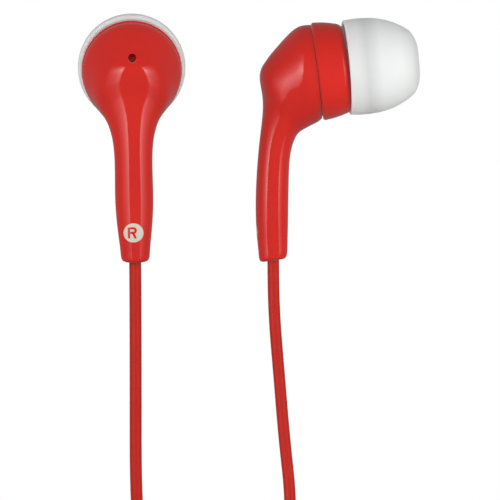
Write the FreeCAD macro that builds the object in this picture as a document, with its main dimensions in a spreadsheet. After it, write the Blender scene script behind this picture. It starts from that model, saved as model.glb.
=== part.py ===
import FreeCAD
import Part

import math
import os

import Sketcher

# Wired in-ear earphones, in millimetres, +Z up.
# Two earpieces are held by their ear tips, stems and cords hanging down. The right one
# points its tip along +Y, the left one along +X. The origin is on the axis of the right
# nozzle, where its tip is widest and sits in the ear canal. Below the earpieces the long
# cords are folded into three hanks, held by one tie, with the splitter and the plug.

SIZES = {
    # Rear shell: a round head that runs into a hollow stem
    "shell_radius": 6.35,
    "shell_wall": 0.95,
    "shell_lip": 0.8,
    "seam_tilt": 7.5,
    "stem_length": 25.2,
    "stem_setback": 5.85,
    "stem_width": 4.9,
    "stem_depth": 4.26,
    "stem_floor": 2.6,
    "foot_rounding": 0.7,
    "foot_forward": 0.12,
    "vent_radius": 0.53,
    "vent_height": 1.4,
    "vent_setback": 6.65,
    "vent_lift": 42.0,
    "vent_seat_depth": 0.5,
    "vent_mesh_radius": 1.1,
    "vent_mesh_thickness": 0.12,
    # Front housing: ring, front wall and nozzle
    "ring_proud": 0.25,
    "ring_depth": 4.45,
    "ring_taper": 0.5,
    "ring_corner": 1.35,
    "front_wall": 1.0,
    "seam_bevel": 0.18,
    "seam_groove": 0.2,
    "groove_depth": 0.6,
    "spigot_length": 1.2,
    "spigot_wall": 0.54,
    "nozzle_tilt": 5.0,
    "nozzle_radius": 2.5,
    "nozzle_bore": 1.8,
    "nozzle_length": 5.2,
    "barb_height": 0.45,
    "barb_length": 2.0,
    "mesh_recess": 0.22,
    "nozzle_mesh_radius": 2.06,
    "nozzle_mesh_thickness": 0.15,
    "mesh_hole_radius": 0.22,
    "mesh_pitch": 0.72,
    # Silicone ear tips
    "right_tip_radius": 7.15,
    "left_tip_radius": 6.46,
    "tip_reach": 9.42,
    "tip_opening": 1.9,
    "tip_skirt": 0.46,
    "tip_sleeve_wall": 1.1,
    # Driver
    "driver_seat": 2.9,
    "clamp_width": 0.5,
    "clamp_height": 0.3,
    "film": 0.1,
    "dome_height": 0.5,
    "frame_height": 2.2,
    "frame_floor": 0.6,
    "frame_vent_radius": 0.25,
    "yoke_drop": 0.5,
    "yoke_vent_radius": 0.55,
    "yoke_room": 1.55,
    "yoke_height": 2.3,
    "yoke_wall": 0.45,
    "yoke_base": 0.5,
    "magnet_height": 1.2,
    "plate_overhang": 0.3,
    "plate_height": 0.55,
    "plate_gap": 0.12,
    "coil_gap": 0.13,
    "coil_wall": 0.2,
    "coil_height": 1.4,
    "felt_thickness": 0.2,
    "board_width": 2.6,
    "board_margin": 0.25,
    "board_thickness": 0.4,
    "solder_radius": 0.35,
    "solder_height": 0.25,
    "wire_diameter": 0.4,
    "wire_spacing": 1.3,
    # Gaps between pieces that fit in one another
    "fit_gap": 0.03,
    "tip_gap": 0.05,
    # Cords
    "branch_diameter": 1.5,
    "main_diameter": 1.8,
    "grommet_wall": 0.2,
    "grommet_flange": 0.27,
    "grommet_length": 2.2,
    "grommet_top": 0.5,
    "cord_root_length": 8.0,
    "crimp_wall": 0.16,
    "crimp_length": 1.2,
    # Hanks: the folded length of each cord
    "turn_gap": 0.45,
    "branch_fold": 4.5,
    "branch_run": 28.0,
    "branch_waist": 3.0,
    "main_fold": 5.4,
    "main_run": 36.0,
    "main_waist": 4.0,
    "tie_height": 4.0,
    "tie_thickness": 0.5,
    "tie_room": 0.35,
    "tie_corner": 2.0,
    # Splitter and plug
    "splitter_radius": 2.4,
    "splitter_length": 13.0,
    "splitter_inlet": 0.98,
    "splitter_across": 9.2,
    "splitter_height": -139.0,
    "collar_wall": 0.45,
    "grip_radius": 2.9,
    "grip_length": 14.0,
    "relief_length": 8.0,
    "relief_radius": 2.25,
    "plug_radius": 1.75,
    "plug_collar": 0.35,
    "plug_collar_proud": 0.4,
    "sleeve_length": 6.7,
    "insulator_length": 0.7,
    "contact_length": 2.3,
    "tip_contact_length": 3.6,
    "plug_rod_radius": 0.5,
    "plug_liner_radius": 1.0,
    "plug_root": 4.0,
    "plug_height": -130.0,
    # Where the pieces hang
    "pair_across": 24.388,
    "pair_behind": 11.7,
    "pair_above": 0.37,
    "right_roll": 1.1,
    "right_turn": 1.5,
    "held_reach": 3.0,
    "hank_across": 10.6,
    "hank_behind": -4.45,
    "hank_height": -92.6,
}
FRAME_VENTS = 8
FELT_ANGLE = 300
RELIEF_RIBS = 4
BRANCH_FOLDS_IN = 3
BRANCH_FOLDS_OUT = 3
MAIN_FOLDS_IN = 5
MAIN_FOLDS_OUT = 6


# A size is a number that also keeps the sheet formula it came from, so a sum of sizes
# can place a point and bind the point's dimension to the sheet.
class Size:
    def __init__(self, value, formula):
        self.value = value
        self.formula = formula

    def __float__(self):
        return float(self.value)

    def __add__(self, other):
        other = as_size(other)
        return Size(self.value + other.value, f"({self.formula} + {other.formula})")

    def __radd__(self, other):
        return as_size(other) + self

    def __sub__(self, other):
        other = as_size(other)
        return Size(self.value - other.value, f"({self.formula} - {other.formula})")

    def __rsub__(self, other):
        return as_size(other) - self

    def __mul__(self, other):
        other = as_size(other)
        return Size(self.value * other.value, f"({self.formula} * {other.formula})")

    def __rmul__(self, other):
        return as_size(other) * self

    def __truediv__(self, other):
        other = as_size(other)
        return Size(self.value / other.value, f"({self.formula} / {other.formula})")

    def __neg__(self):
        return 0 - self


def as_size(value):
    return value if isinstance(value, Size) else Size(float(value), f"({float(value)})")


def root_of_squares(one, two):
    one, two = as_size(one), as_size(two)
    formula = f"sqrt({one.formula} * {one.formula} + {two.formula} * {two.formula})"
    return Size(math.hypot(one.value, two.value), formula)


class SizeSheet:
    def __init__(self, document, sizes):
        self.sheet = document.addObject("Spreadsheet::Sheet", "Sizes")
        for row, (name, value) in enumerate(sizes.items(), start=1):
            self.sheet.set(f"A{row}", name)
            self.sheet.set(f"B{row}", str(value))
            self.sheet.setAlias(f"B{row}", name)
            setattr(self, name, Size(value, f"Sizes.{name}"))
        document.recompute()


doc = FreeCAD.newDocument("Earphones")
mm = SizeSheet(doc, SIZES)
subparts = []

SMALL = 1e-9
SMALL_MM = 1e-3
SIDE_AXIS = FreeCAD.Vector(1, 0, 0)
FORWARD_AXIS = FreeCAD.Vector(0, 1, 0)
UP_AXIS = FreeCAD.Vector(0, 0, 1)


def vec(x, y, z):
    return FreeCAD.Vector(float(x), float(y), float(z))


def place(x=0, y=0, z=0, axis=UP_AXIS, angle=0):
    return FreeCAD.Placement(vec(x, y, z), FreeCAD.Rotation(axis, float(angle)))


def add(kind, name):
    return doc.addObject(kind, name)


def keep(piece, label, frame):
    piece.Label = label
    piece.Placement = frame
    subparts.append(piece)
    return piece


def bind(piece, **sizes):
    for name, value in sizes.items():
        piece.setExpression(name, as_size(value).formula)


# Sketched outlines. A corner is (across, along), and a corner that is reached by an arc
# adds the point that the arc passes through.
def origin_plane(body, role):
    return next(item for item in body.Origin.OriginFeatures if item.Role == role)


# In a sketch, geometry -1 is the horizontal axis, with the origin, and -2 the vertical one.
def fix_point(sketch, edge, end, across, along):
    for kind, axis, value in (("DistanceX", -2, across), ("DistanceY", -1, along)):
        value = as_size(value)
        if abs(value.value) < SMALL:
            sketch.addConstraint(Sketcher.Constraint("PointOnObject", edge, end, axis))
            continue
        distance = Sketcher.Constraint(kind, -1, 1, edge, end, value.value)
        index = sketch.addConstraint(distance)
        sketch.setExpression(f"Constraints[{index}]", value.formula)


def end_at(sketch, edge, spot):
    gaps = {end: sketch.getPoint(edge, end).distanceToPoint(spot) for end in (1, 2)}
    return min(gaps, key=gaps.get)


def pin_edges(sketch, edges, corners):
    for index, corner in enumerate(corners):
        edge, following = edges[index], edges[(index + 1) % len(edges)]
        spot = vec(corner[0], corner[1], 0)
        end = end_at(sketch, edge, spot)
        start = end_at(sketch, following, spot)
        sketch.addConstraint(Sketcher.Constraint("Coincident", edge, end, following, start))
        fix_point(sketch, edge, end, corner[0], corner[1])


def draw_outline(sketch, outline):
    spots = [vec(corner[0], corner[1], 0) for corner in outline]
    edges = []
    for index, corner in enumerate(outline):
        start, stop = spots[index - 1], spots[index]
        if len(corner) == 3:
            through = vec(corner[2][0], corner[2][1], 0)
            edges.append(sketch.addGeometry(Part.Arc(start, through, stop), False))
        else:
            edges.append(sketch.addGeometry(Part.LineSegment(start, stop), False))
    pin_edges(sketch, edges, outline)
    for edge, corner in zip(edges, outline):
        if len(corner) == 3:
            through = vec(corner[2][0], corner[2][1], 0)
            mark = sketch.addGeometry(Part.Point(through), True)
            sketch.addConstraint(Sketcher.Constraint("PointOnObject", mark, 1, edge))
            fix_point(sketch, mark, 1, corner[2][0], corner[2][1])


def draw_oval(sketch, half_width, half_depth):
    oval = Part.Ellipse(vec(0, 0, 0), float(half_width), float(half_depth))
    quarter = math.pi / 2
    edges = []
    for turn in range(1, 5):
        arc = Part.ArcOfEllipse(oval, turn * quarter, (turn + 1) * quarter)
        edges.append(sketch.addGeometry(arc, False))
    corners = [(-half_width, 0), (0, -half_depth), (half_width, 0), (0, half_depth)]
    pin_edges(sketch, edges, corners)


def sketch_on(body, name, role, outline):
    sketch = body.newObject("Sketcher::SketchObject", name)
    sketch.AttachmentSupport = [(origin_plane(body, role), "")]
    sketch.MapMode = "FlatFace"
    draw_outline(sketch, outline)
    return sketch


def turned_body(name, outline, angle=360):
    body = add("PartDesign::Body", name)
    sketch = sketch_on(body, name + "_outline", "XZ_Plane", outline)
    turn = body.newObject("PartDesign::Revolution", name + "_turn")
    turn.Profile = sketch
    turn.ReferenceAxis = (sketch, ["V_Axis"])
    turn.Angle = angle
    turn.Midplane = angle < 360
    return body


def cap_middle(radius, crown):
    sphere = (radius * radius + crown * crown) / (crown * 2)
    rise = sphere - crown / 2
    share = sphere / root_of_squares(radius / 2, rise)
    return radius / 2 * share, crown - sphere + rise * share


def tube_outline(inner, outer, low, high):
    return [(inner, low), (outer, low), (outer, high), (inner, high)]


def disc_outline(radius, low, high):
    return tube_outline(0, radius, low, high)


def cylinder(name, radius, height, frame):
    piece = add("Part::Cylinder", name)
    bind(piece, Radius=radius, Height=height)
    piece.Placement = frame
    return piece


def joined(name, pieces):
    fuse = add("Part::MultiFuse", name)
    fuse.Shapes = pieces
    return fuse


def cut(name, base, tool):
    piece = add("Part::Cut", name)
    piece.Base = base
    piece.Tool = tool
    return piece


# Frames inside an earpiece: X across, Y forward, Z up, from the centre of the seam.
# The ring frame's Z runs forward along the ring's axis, and its Y points down.
ring_frame = place(axis=SIDE_AXIS, angle=mm.seam_tilt - 90)
ring_front = ring_frame.multVec(vec(0, 0, mm.ring_depth))
nozzle_turn = FreeCAD.Rotation(SIDE_AXIS, float(mm.nozzle_tilt - 90))
nozzle_frame = FreeCAD.Placement(ring_front, nozzle_turn)
foot_frame = place(y=mm.foot_forward - mm.stem_setback, z=-mm.stem_length)

# Radii that follow from the shell's, from the outside in: the ring stands proud of it, the
# spigot fits in its mouth, the driver in the spigot, and the magnet system in the driver.
ring_radius = mm.shell_radius + mm.ring_proud
spigot_radius = mm.shell_radius - mm.shell_lip - mm.fit_gap
driver_radius = spigot_radius - mm.spigot_wall - mm.fit_gap
yoke_radius = driver_radius - mm.yoke_room
coil_radius = yoke_radius - mm.yoke_wall - mm.coil_gap - mm.coil_wall
plate_radius = coil_radius - mm.plate_gap
magnet_radius = plate_radius - mm.plate_overhang


# Rear shell. Its outline is given by pairs of points, the back and the front of each
# section, from the seam round the head and down the stem, with the section's half width.
# Head sections are in shell radii from the seam's centre: back, up, front, up, width.
HEAD_SECTIONS = [
    (-0.345, 0.964, 0.016, -1.039, 1.011),
    (-0.557, 0.829, -0.087, -1.102, 0.986),
    (-0.799, 0.562, -0.173, -1.134, 0.901),
    (-1.039, 0.257, -0.244, -1.181, 0.827),
    (-1.157, 0.024, -0.299, -1.225, 0.762),
    (-1.169, -0.252, -0.354, -1.276, 0.661),
    (-1.118, -0.567, -0.417, -1.362, 0.551),
    (-1.110, -0.882, -0.469, -1.480, 0.465),
]
# Stem sections, as shares: back and front in half depths from the stem's axis, each
# point's depth below the seam in stem lengths, and the width in half stem widths.
STEM_SECTIONS = [
    (-0.671, 0.329, 1.197, 0.417, 1.049),
    (-0.822, 0.448, 1.094, 0.484, 1.0),
    (-0.977, 0.579, 1.019, 0.587, 1.008),
    (-1.009, 0.698, 0.991, 0.698, 1.041),
    (-0.977, 0.817, 0.972, 0.817, 0.951),
    (-0.878, 0.921, 0.953, 0.921, 0.816),
    (-0.784, 1.0, 0.934, 1.0, 0.755),
]


def shell_sections():
    sections = []
    lean = math.radians(float(mm.seam_tilt))
    back = (-math.sin(lean) * mm.shell_radius, math.cos(lean) * mm.shell_radius)
    sections.append((back, (-back[0], -back[1]), mm.shell_radius))
    for back_y, back_z, front_y, front_z, width in HEAD_SECTIONS:
        back = (back_y * mm.shell_radius, back_z * mm.shell_radius)
        front = (front_y * mm.shell_radius, front_z * mm.shell_radius)
        sections.append((back, front, width * mm.shell_radius))
    half_depth, half_width = mm.stem_depth / 2, mm.stem_width / 2
    for back_y, back_z, front_y, front_z, width in STEM_SECTIONS:
        back = (back_y * half_depth - mm.stem_setback, -back_z * mm.stem_length)
        front = (front_y * half_depth - mm.stem_setback, -front_z * mm.stem_length)
        sections.append((back, front, width * half_width))
    return sections


def shell_loft(name, sections, inset):
    rings = []
    for index, (back, front, half_width) in enumerate(sections):
        half_depth = root_of_squares(back[0] - front[0], back[1] - front[1]) / 2
        widest = half_width if half_width.value >= half_depth.value else half_depth
        ring = add("Sketcher::SketchObject", f"{name}_section_{index}")
        slope = math.atan2(float(back[1] - front[1]), float(back[0] - front[0]))
        middle_y, middle_z = (back[0] + front[0]) / 2, (back[1] + front[1]) / 2
        ring.Placement = place(0, middle_y, middle_z, SIDE_AXIS, math.degrees(slope))
        draw_oval(ring, widest - inset, half_depth - inset)
        rings.append(ring)
    loft = add("Part::Loft", name)
    loft.Sections = rings
    loft.Solid = True
    return loft


def edges_at(shape, height):
    return [index for index, edge in enumerate(shape.Edges, start=1)
            if all(abs(spot.Point.z - height) < SMALL_MM for spot in edge.Vertexes)]


# The vent is drilled along the ring's axis. Inside, a flat seat that is square to the wall
# takes the cloth that closes it.
def vent_frames(outer):
    lift = math.radians(float(mm.vent_lift))
    square = FreeCAD.Vector(0, -math.cos(lift), math.sin(lift))
    back = ring_frame.Rotation.multVec(UP_AXIS) * -1
    aim = vec(0, -mm.vent_setback, mm.vent_height)
    reach = float(mm.shell_radius / 2)
    ray = Part.makeLine(aim - back * reach, aim + back * reach)
    mouth = max(outer.Shape.common(ray).Vertexes, key=lambda spot: -spot.Point.y).Point
    seat = mouth - back * (float(mm.vent_seat_depth) / square.dot(back))
    return (FreeCAD.Placement(mouth, FreeCAD.Rotation(UP_AXIS, back)),
            FreeCAD.Placement(seat, FreeCAD.Rotation(UP_AXIS, square)))


def rear_shell_shapes():
    name = "rear_shell"
    sections = shell_sections()
    outer = shell_loft(name + "_outer", sections, 0)
    doc.recompute()
    foot = add("Part::Fillet", name + "_foot")
    foot.Base = outer
    rounding = float(mm.foot_rounding)
    foot.Edges = [(edge, rounding, rounding) for edge in edges_at(outer.Shape, -float(mm.stem_length))]
    inner = shell_loft(name + "_inner", sections, mm.shell_wall)
    floor = cylinder(name + "_floor", mm.stem_width, mm.stem_floor + 1, foot_frame * place(z=-1))
    cavity = cut(name + "_cavity", inner, floor)
    bore_depth = mm.spigot_length + mm.fit_gap
    mouth = cylinder(name + "_mouth", mm.shell_radius - mm.shell_lip, bore_depth + 1,
                     ring_frame * place(z=-bore_depth))
    grommet_radius = mm.branch_diameter / 2 + mm.grommet_wall + 2 * mm.fit_gap
    grommet_hole = cylinder(name + "_grommet_hole", grommet_radius,
                            mm.stem_floor + 2, foot_frame * place(z=-1))
    grommet_seat = cylinder(name + "_grommet_seat", grommet_radius + mm.grommet_flange,
                            mm.grommet_top + mm.fit_gap, foot_frame * place(z=mm.stem_floor))
    vent, vent_seat = vent_frames(outer)
    vent_hole = cylinder(name + "_vent_hole", mm.vent_radius, 4 * mm.shell_wall,
                         vent * place(z=-3 * mm.shell_wall))
    mesh_seat = cylinder(name + "_mesh_seat", mm.vent_mesh_radius + mm.fit_gap, 3 * mm.shell_wall,
                         vent_seat * place(z=-3 * mm.shell_wall))
    solid = foot
    for step, tool in enumerate((cavity, mouth, grommet_hole, grommet_seat, mesh_seat)):
        solid = cut(f"{name}_step_{step}", solid, tool)
    return solid, vent_hole, vent_seat


# Front housing: the ring is turned about its own axis, the nozzle about one that leans
# less, and the sound bore and the mesh's recess follow the nozzle. A groove sets the ring
# off from the shell along the seam.
def front_housing_shapes():
    name = "front_housing"
    bore = driver_radius + mm.fit_gap
    ceiling = mm.ring_depth - mm.front_wall
    shoulder = mm.ring_depth - mm.ring_corner * 0.85
    shoulder_radius = ring_radius - mm.ring_taper
    chamber = driver_radius - mm.clamp_width - 0.15
    ring = turned_body(name + "_ring", [
        (0, ceiling),
        (chamber, ceiling),
        (chamber, mm.driver_seat),
        (bore, mm.driver_seat),
        (bore, -mm.spigot_length),
        (spigot_radius, -mm.spigot_length),
        (spigot_radius, 0),
        (ring_radius - mm.groove_depth, 0),
        (ring_radius - mm.groove_depth, mm.seam_groove),
        (ring_radius - mm.seam_bevel, mm.seam_groove),
        (ring_radius, mm.seam_groove + mm.seam_bevel),
        (shoulder_radius, shoulder, (ring_radius - mm.ring_taper / 4, shoulder / 2)),
        (shoulder_radius - mm.ring_corner, mm.ring_depth,
         (shoulder_radius - mm.ring_corner * 0.32, mm.ring_depth - mm.ring_corner * 0.26)),
        (0, mm.ring_depth),
    ])
    ring.Placement = ring_frame
    barb_start = mm.nozzle_length - mm.barb_length
    barb_radius = mm.nozzle_radius + mm.barb_height
    nozzle = turned_body(name + "_nozzle", [
        (0, -mm.front_wall / 2),
        (mm.nozzle_radius, -mm.front_wall / 2),
        (mm.nozzle_radius, barb_start),
        (barb_radius, barb_start),
        (barb_radius, barb_start + mm.barb_length / 5),
        (mm.nozzle_radius, mm.nozzle_length - 0.15),
        (mm.nozzle_radius - 0.15, mm.nozzle_length),
        (0, mm.nozzle_length),
    ])
    nozzle.Placement = nozzle_frame
    sound_bore = cylinder(name + "_bore", mm.nozzle_bore, mm.nozzle_length + 2 * mm.front_wall,
                          nozzle_frame * place(z=-mm.front_wall * 1.5))
    mesh_seat = cylinder(name + "_mesh_seat", mm.nozzle_mesh_radius + mm.fit_gap, 1,
                         nozzle_frame * place(z=mm.nozzle_length - mm.mesh_recess))
    solid = joined(name + "_solid", [ring, nozzle])
    return solid, joined(name + "_cuts", [sound_bore, mesh_seat])


# Ear tip: a sleeve that grips the barb, turned over at the front into a domed skirt.
def ear_tip(side, radius):
    bore = mm.nozzle_radius + mm.tip_gap
    groove = bore + mm.barb_height
    barb_start = mm.nozzle_length - mm.barb_length - mm.tip_gap
    sleeve = bore + mm.tip_sleeve_wall
    inside = radius - mm.tip_skirt - 0.1
    belly, shoulder, dome = (mm.tip_reach * share for share in (0.287, 0.621, 0.775))
    return turned_body(side + "ear_tip", [
        (bore, 0.3),
        (bore, barb_start),
        (groove, barb_start),
        (groove, barb_start + mm.barb_length / 5 + mm.tip_gap),
        (bore, mm.nozzle_length + mm.tip_gap),
        (mm.tip_opening, mm.nozzle_length + mm.tip_gap),
        (mm.tip_opening, mm.tip_reach),
        (radius - 2.2, mm.tip_reach - 0.92, (radius - 3.26, mm.tip_reach - 0.3)),
        (radius - 0.04, belly, (radius - 0.68, shoulder)),
        (radius - 0.1, 0, (radius, belly * 0.48)),
        (inside, 0, (radius - 0.33, -0.33)),
        (inside, belly, (inside + 0.06, belly * 0.52)),
        (inside - 1.94, dome, (inside - 0.69, shoulder - 0.35)),
        (sleeve, dome - 0.7),
        (sleeve, 0.3),
    ])


def hexagon_spots(rings, pitch):
    spots = [(0.0, 0.0)]
    for ring in range(1, rings + 1):
        for sixth in range(6):
            for step in range(ring):
                start = math.radians(60 * sixth)
                turn = math.radians(60 * (sixth + 2))
                across = ring * math.cos(start) + step * math.cos(turn)
                along = ring * math.sin(start) + step * math.sin(turn)
                spots.append((across * pitch, along * pitch))
    return spots


def nozzle_mesh(side):
    name = side + "nozzle_mesh"
    body = turned_body(name, disc_outline(mm.nozzle_mesh_radius, 0, mm.nozzle_mesh_thickness))
    holes = body.newObject("Sketcher::SketchObject", name + "_holes")
    holes.AttachmentSupport = [(origin_plane(body, "XY_Plane"), "")]
    holes.MapMode = "FlatFace"
    for across, along in hexagon_spots(2, mm.mesh_pitch):
        centre = vec(across, along, 0)
        circle = Part.Circle(centre, UP_AXIS, float(mm.mesh_hole_radius))
        edge = holes.addGeometry(circle, False)
        index = holes.addConstraint(Sketcher.Constraint("Radius", edge, circle.Radius))
        holes.setExpression(f"Constraints[{index}]", mm.mesh_hole_radius.formula)
        fix_point(holes, edge, 3, across, along)
    pierced = body.newObject("PartDesign::Pocket", name + "_pierced")
    pierced.Profile = holes
    pierced.Type = "ThroughAll"
    pierced.Midplane = True
    return body


# Driver, along the ring's axis from the seat in the front housing back to the yoke.
def driver_heights():
    film_top = mm.driver_seat - mm.clamp_height
    film_base = film_top - mm.film
    frame_base = film_base - mm.frame_height
    yoke_top = film_base - mm.yoke_drop
    yoke_base = yoke_top - mm.yoke_height
    return film_top, film_base, frame_base, yoke_top, yoke_base


def driver_frame(side):
    name = side + "driver_frame"
    film_top, film_base, frame_base, yoke_top, yoke_base = driver_heights()
    rim = driver_radius - mm.clamp_width
    hub = yoke_radius + mm.fit_gap
    body = turned_body(name, [
        (hub, frame_base),
        (driver_radius, frame_base),
        (driver_radius, film_base),
        (rim, film_base),
        (rim, frame_base + mm.frame_floor),
        (hub, frame_base + mm.frame_floor),
    ])
    vent = body.newObject("Sketcher::SketchObject", name + "_vent_outline")
    vent.AttachmentSupport = [(origin_plane(body, "XY_Plane"), "")]
    vent.MapMode = "FlatFace"
    middle = (rim + hub) / 2
    circle = Part.Circle(vec(middle, 0, 0), UP_AXIS, float(mm.frame_vent_radius))
    edge = vent.addGeometry(circle, False)
    index = vent.addConstraint(Sketcher.Constraint("Radius", edge, circle.Radius))
    vent.setExpression(f"Constraints[{index}]", mm.frame_vent_radius.formula)
    fix_point(vent, edge, 3, middle, 0)
    drilled = body.newObject("PartDesign::Pocket", name + "_vent")
    drilled.Profile = vent
    drilled.Type = "ThroughAll"
    drilled.Midplane = True
    pattern = body.newObject("PartDesign::PolarPattern", name + "_vents")
    pattern.Originals = [drilled]
    pattern.Axis = (vent, ["N_Axis"])
    pattern.Angle = 360
    pattern.Occurrences = FRAME_VENTS
    body.Tip = pattern
    return body


def yoke(side):
    top, base = driver_heights()[3:]
    inner = yoke_radius - mm.yoke_wall
    return turned_body(side + "yoke", [
        (mm.yoke_vent_radius, base),
        (yoke_radius - 0.2, base),
        (yoke_radius, base + 0.2),
        (yoke_radius, top),
        (inner, top),
        (inner, base + mm.yoke_base),
        (mm.yoke_vent_radius, base + mm.yoke_base),
    ])


def magnet(side):
    seat = driver_heights()[4] + mm.yoke_base
    return turned_body(side + "magnet",
                       tube_outline(mm.yoke_vent_radius, magnet_radius, seat, seat + mm.magnet_height))


def top_plate(side):
    seat = driver_heights()[4] + mm.yoke_base + mm.magnet_height
    return turned_body(side + "top_plate",
                       tube_outline(mm.yoke_vent_radius, plate_radius, seat, seat + mm.plate_height))


def voice_coil(side):
    film_base = driver_heights()[1]
    return turned_body(side + "voice_coil",
                       tube_outline(coil_radius, coil_radius + mm.coil_wall,
                                    film_base - mm.coil_height, film_base))


def diaphragm(side):
    top, base = driver_heights()[:2]
    dome = coil_radius + mm.coil_wall / 2
    rim = driver_radius - mm.clamp_width
    roll = (dome + rim) / 2
    crown = mm.dome_height
    low_across, low_rise = cap_middle(dome - mm.film, crown)
    high_across, high_rise = cap_middle(dome, crown)
    return turned_body(side + "diaphragm", [
        (0, base + crown),
        (dome - mm.film, base, (low_across, base + low_rise)),
        (dome + mm.film, base),
        (rim, base, (roll, base + crown * 0.45)),
        (driver_radius - mm.film, base),
        (driver_radius - mm.film, top),
        (rim - mm.film, top),
        (dome, top, (roll, top + crown * 0.45)),
        (0, top + crown, (high_across, top + high_rise)),
    ])


def clamp_ring(side):
    top = driver_heights()[0]
    return turned_body(side + "clamp_ring",
                       tube_outline(driver_radius - mm.clamp_width, driver_radius,
                                    top, top + mm.clamp_height))


def damping_felt(side):
    seat = driver_heights()[2]
    inner, outer = yoke_radius + 0.15, driver_radius - 0.1
    return turned_body(side + "damping_felt",
                       tube_outline(inner, outer, seat - mm.felt_thickness, seat), FELT_ANGLE)


board_inner = yoke_radius + 0.15
board_length = driver_radius - mm.board_margin - board_inner


def terminal_board(side):
    board = add("Part::Box", side + "terminal_board")
    bind(board, Length=mm.board_width, Width=board_length, Height=mm.board_thickness)
    return board


def solder_joints(side):
    name = side + "solder_joints"
    cones = []
    for index, across in enumerate((-1, 1)):
        cone = add("Part::Cone", f"{name}_{index}")
        bind(cone, Radius1=mm.wire_diameter / 2, Radius2=mm.solder_radius, Height=mm.solder_height)
        cone.Placement = place(x=across * mm.wire_spacing / 2)
        cones.append(cone)
    group = add("Part::Compound", name)
    group.Links = cones
    return group


def cable_grommet(side):
    bore = mm.branch_diameter / 2 + mm.fit_gap
    outer = mm.branch_diameter / 2 + mm.grommet_wall + mm.fit_gap
    ledge = mm.stem_floor
    return turned_body(side + "cable_grommet", [
        (bore, ledge - mm.grommet_length),
        (outer, ledge - mm.grommet_length),
        (outer, ledge),
        (outer + mm.grommet_flange, ledge),
        (outer + mm.grommet_flange, ledge + mm.grommet_top),
        (bore, ledge + mm.grommet_top),
    ])


def cord_root(side):
    low = mm.stem_floor - mm.grommet_length
    return turned_body(side + "cord_root",
                       disc_outline(mm.branch_diameter / 2, low, low + mm.cord_root_length))


def cable_crimp(side):
    seat = mm.stem_floor + mm.grommet_top
    bore = mm.branch_diameter / 2 + mm.fit_gap
    return turned_body(side + "cable_crimp",
                       tube_outline(bore, bore + mm.crimp_wall, seat, seat + mm.crimp_length))


# Cords. A route is a list of points chosen by hand, and the tube follows its straight
# runs, joined by arcs that are as large as the two runs beside them allow.
ARC_SHARE = 0.45


def edge_between(start, corner, stop):
    lean = (stop - start).Length / (2 * (corner - start).Length)
    if lean > 1 - 1e-7:
        return Part.LineSegment(start, stop).toShape()
    middle = (start + stop + corner * (2 * lean)) * (1 / (2 + 2 * lean))
    return Part.Arc(start, middle, stop).toShape()


def bent_edges(route):
    edges, radii = [], []
    last = route[0]
    for before, corner, after in zip(route, route[1:], route[2:]):
        into, out = corner - before, after - corner
        reach = ARC_SHARE * min(into.Length, out.Length)
        radii.append(reach / math.tan(into.getAngle(out) / 2))
        start = corner - into.normalize() * reach
        stop = corner + out.normalize() * reach
        edges.append(Part.LineSegment(last, start).toShape())
        edges.append(edge_between(start, corner, stop))
        last = stop
    edges.append(Part.LineSegment(last, route[-1]).toShape())
    return edges, radii


def tube(name, edges, diameter):
    radius = float(diameter) / 2
    start = edges[0].valueAt(edges[0].FirstParameter)
    heading = edges[0].tangentAt(edges[0].FirstParameter)
    ring = Part.Wire([Part.Circle(start, heading, radius).toShape()])
    path = Part.Wire(edges)
    piece = add("Part::Feature", name)
    piece.Shape = path.makePipeShell([ring], True, False)
    expected = math.pi * radius * radius * path.Length
    share = piece.Shape.Volume / expected
    print(f"{name}: length {path.Length:.1f}, volume {share:.4f} of section times length")
    return piece


def cord(name, route, diameter):
    edges, radii = bent_edges([vec(*spot) for spot in route])
    listed = ", ".join(f"{radius:.1f}" for radius in radii)
    print(f"{name}: arc radii {listed}")
    return tube(name, edges, diameter)


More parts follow.
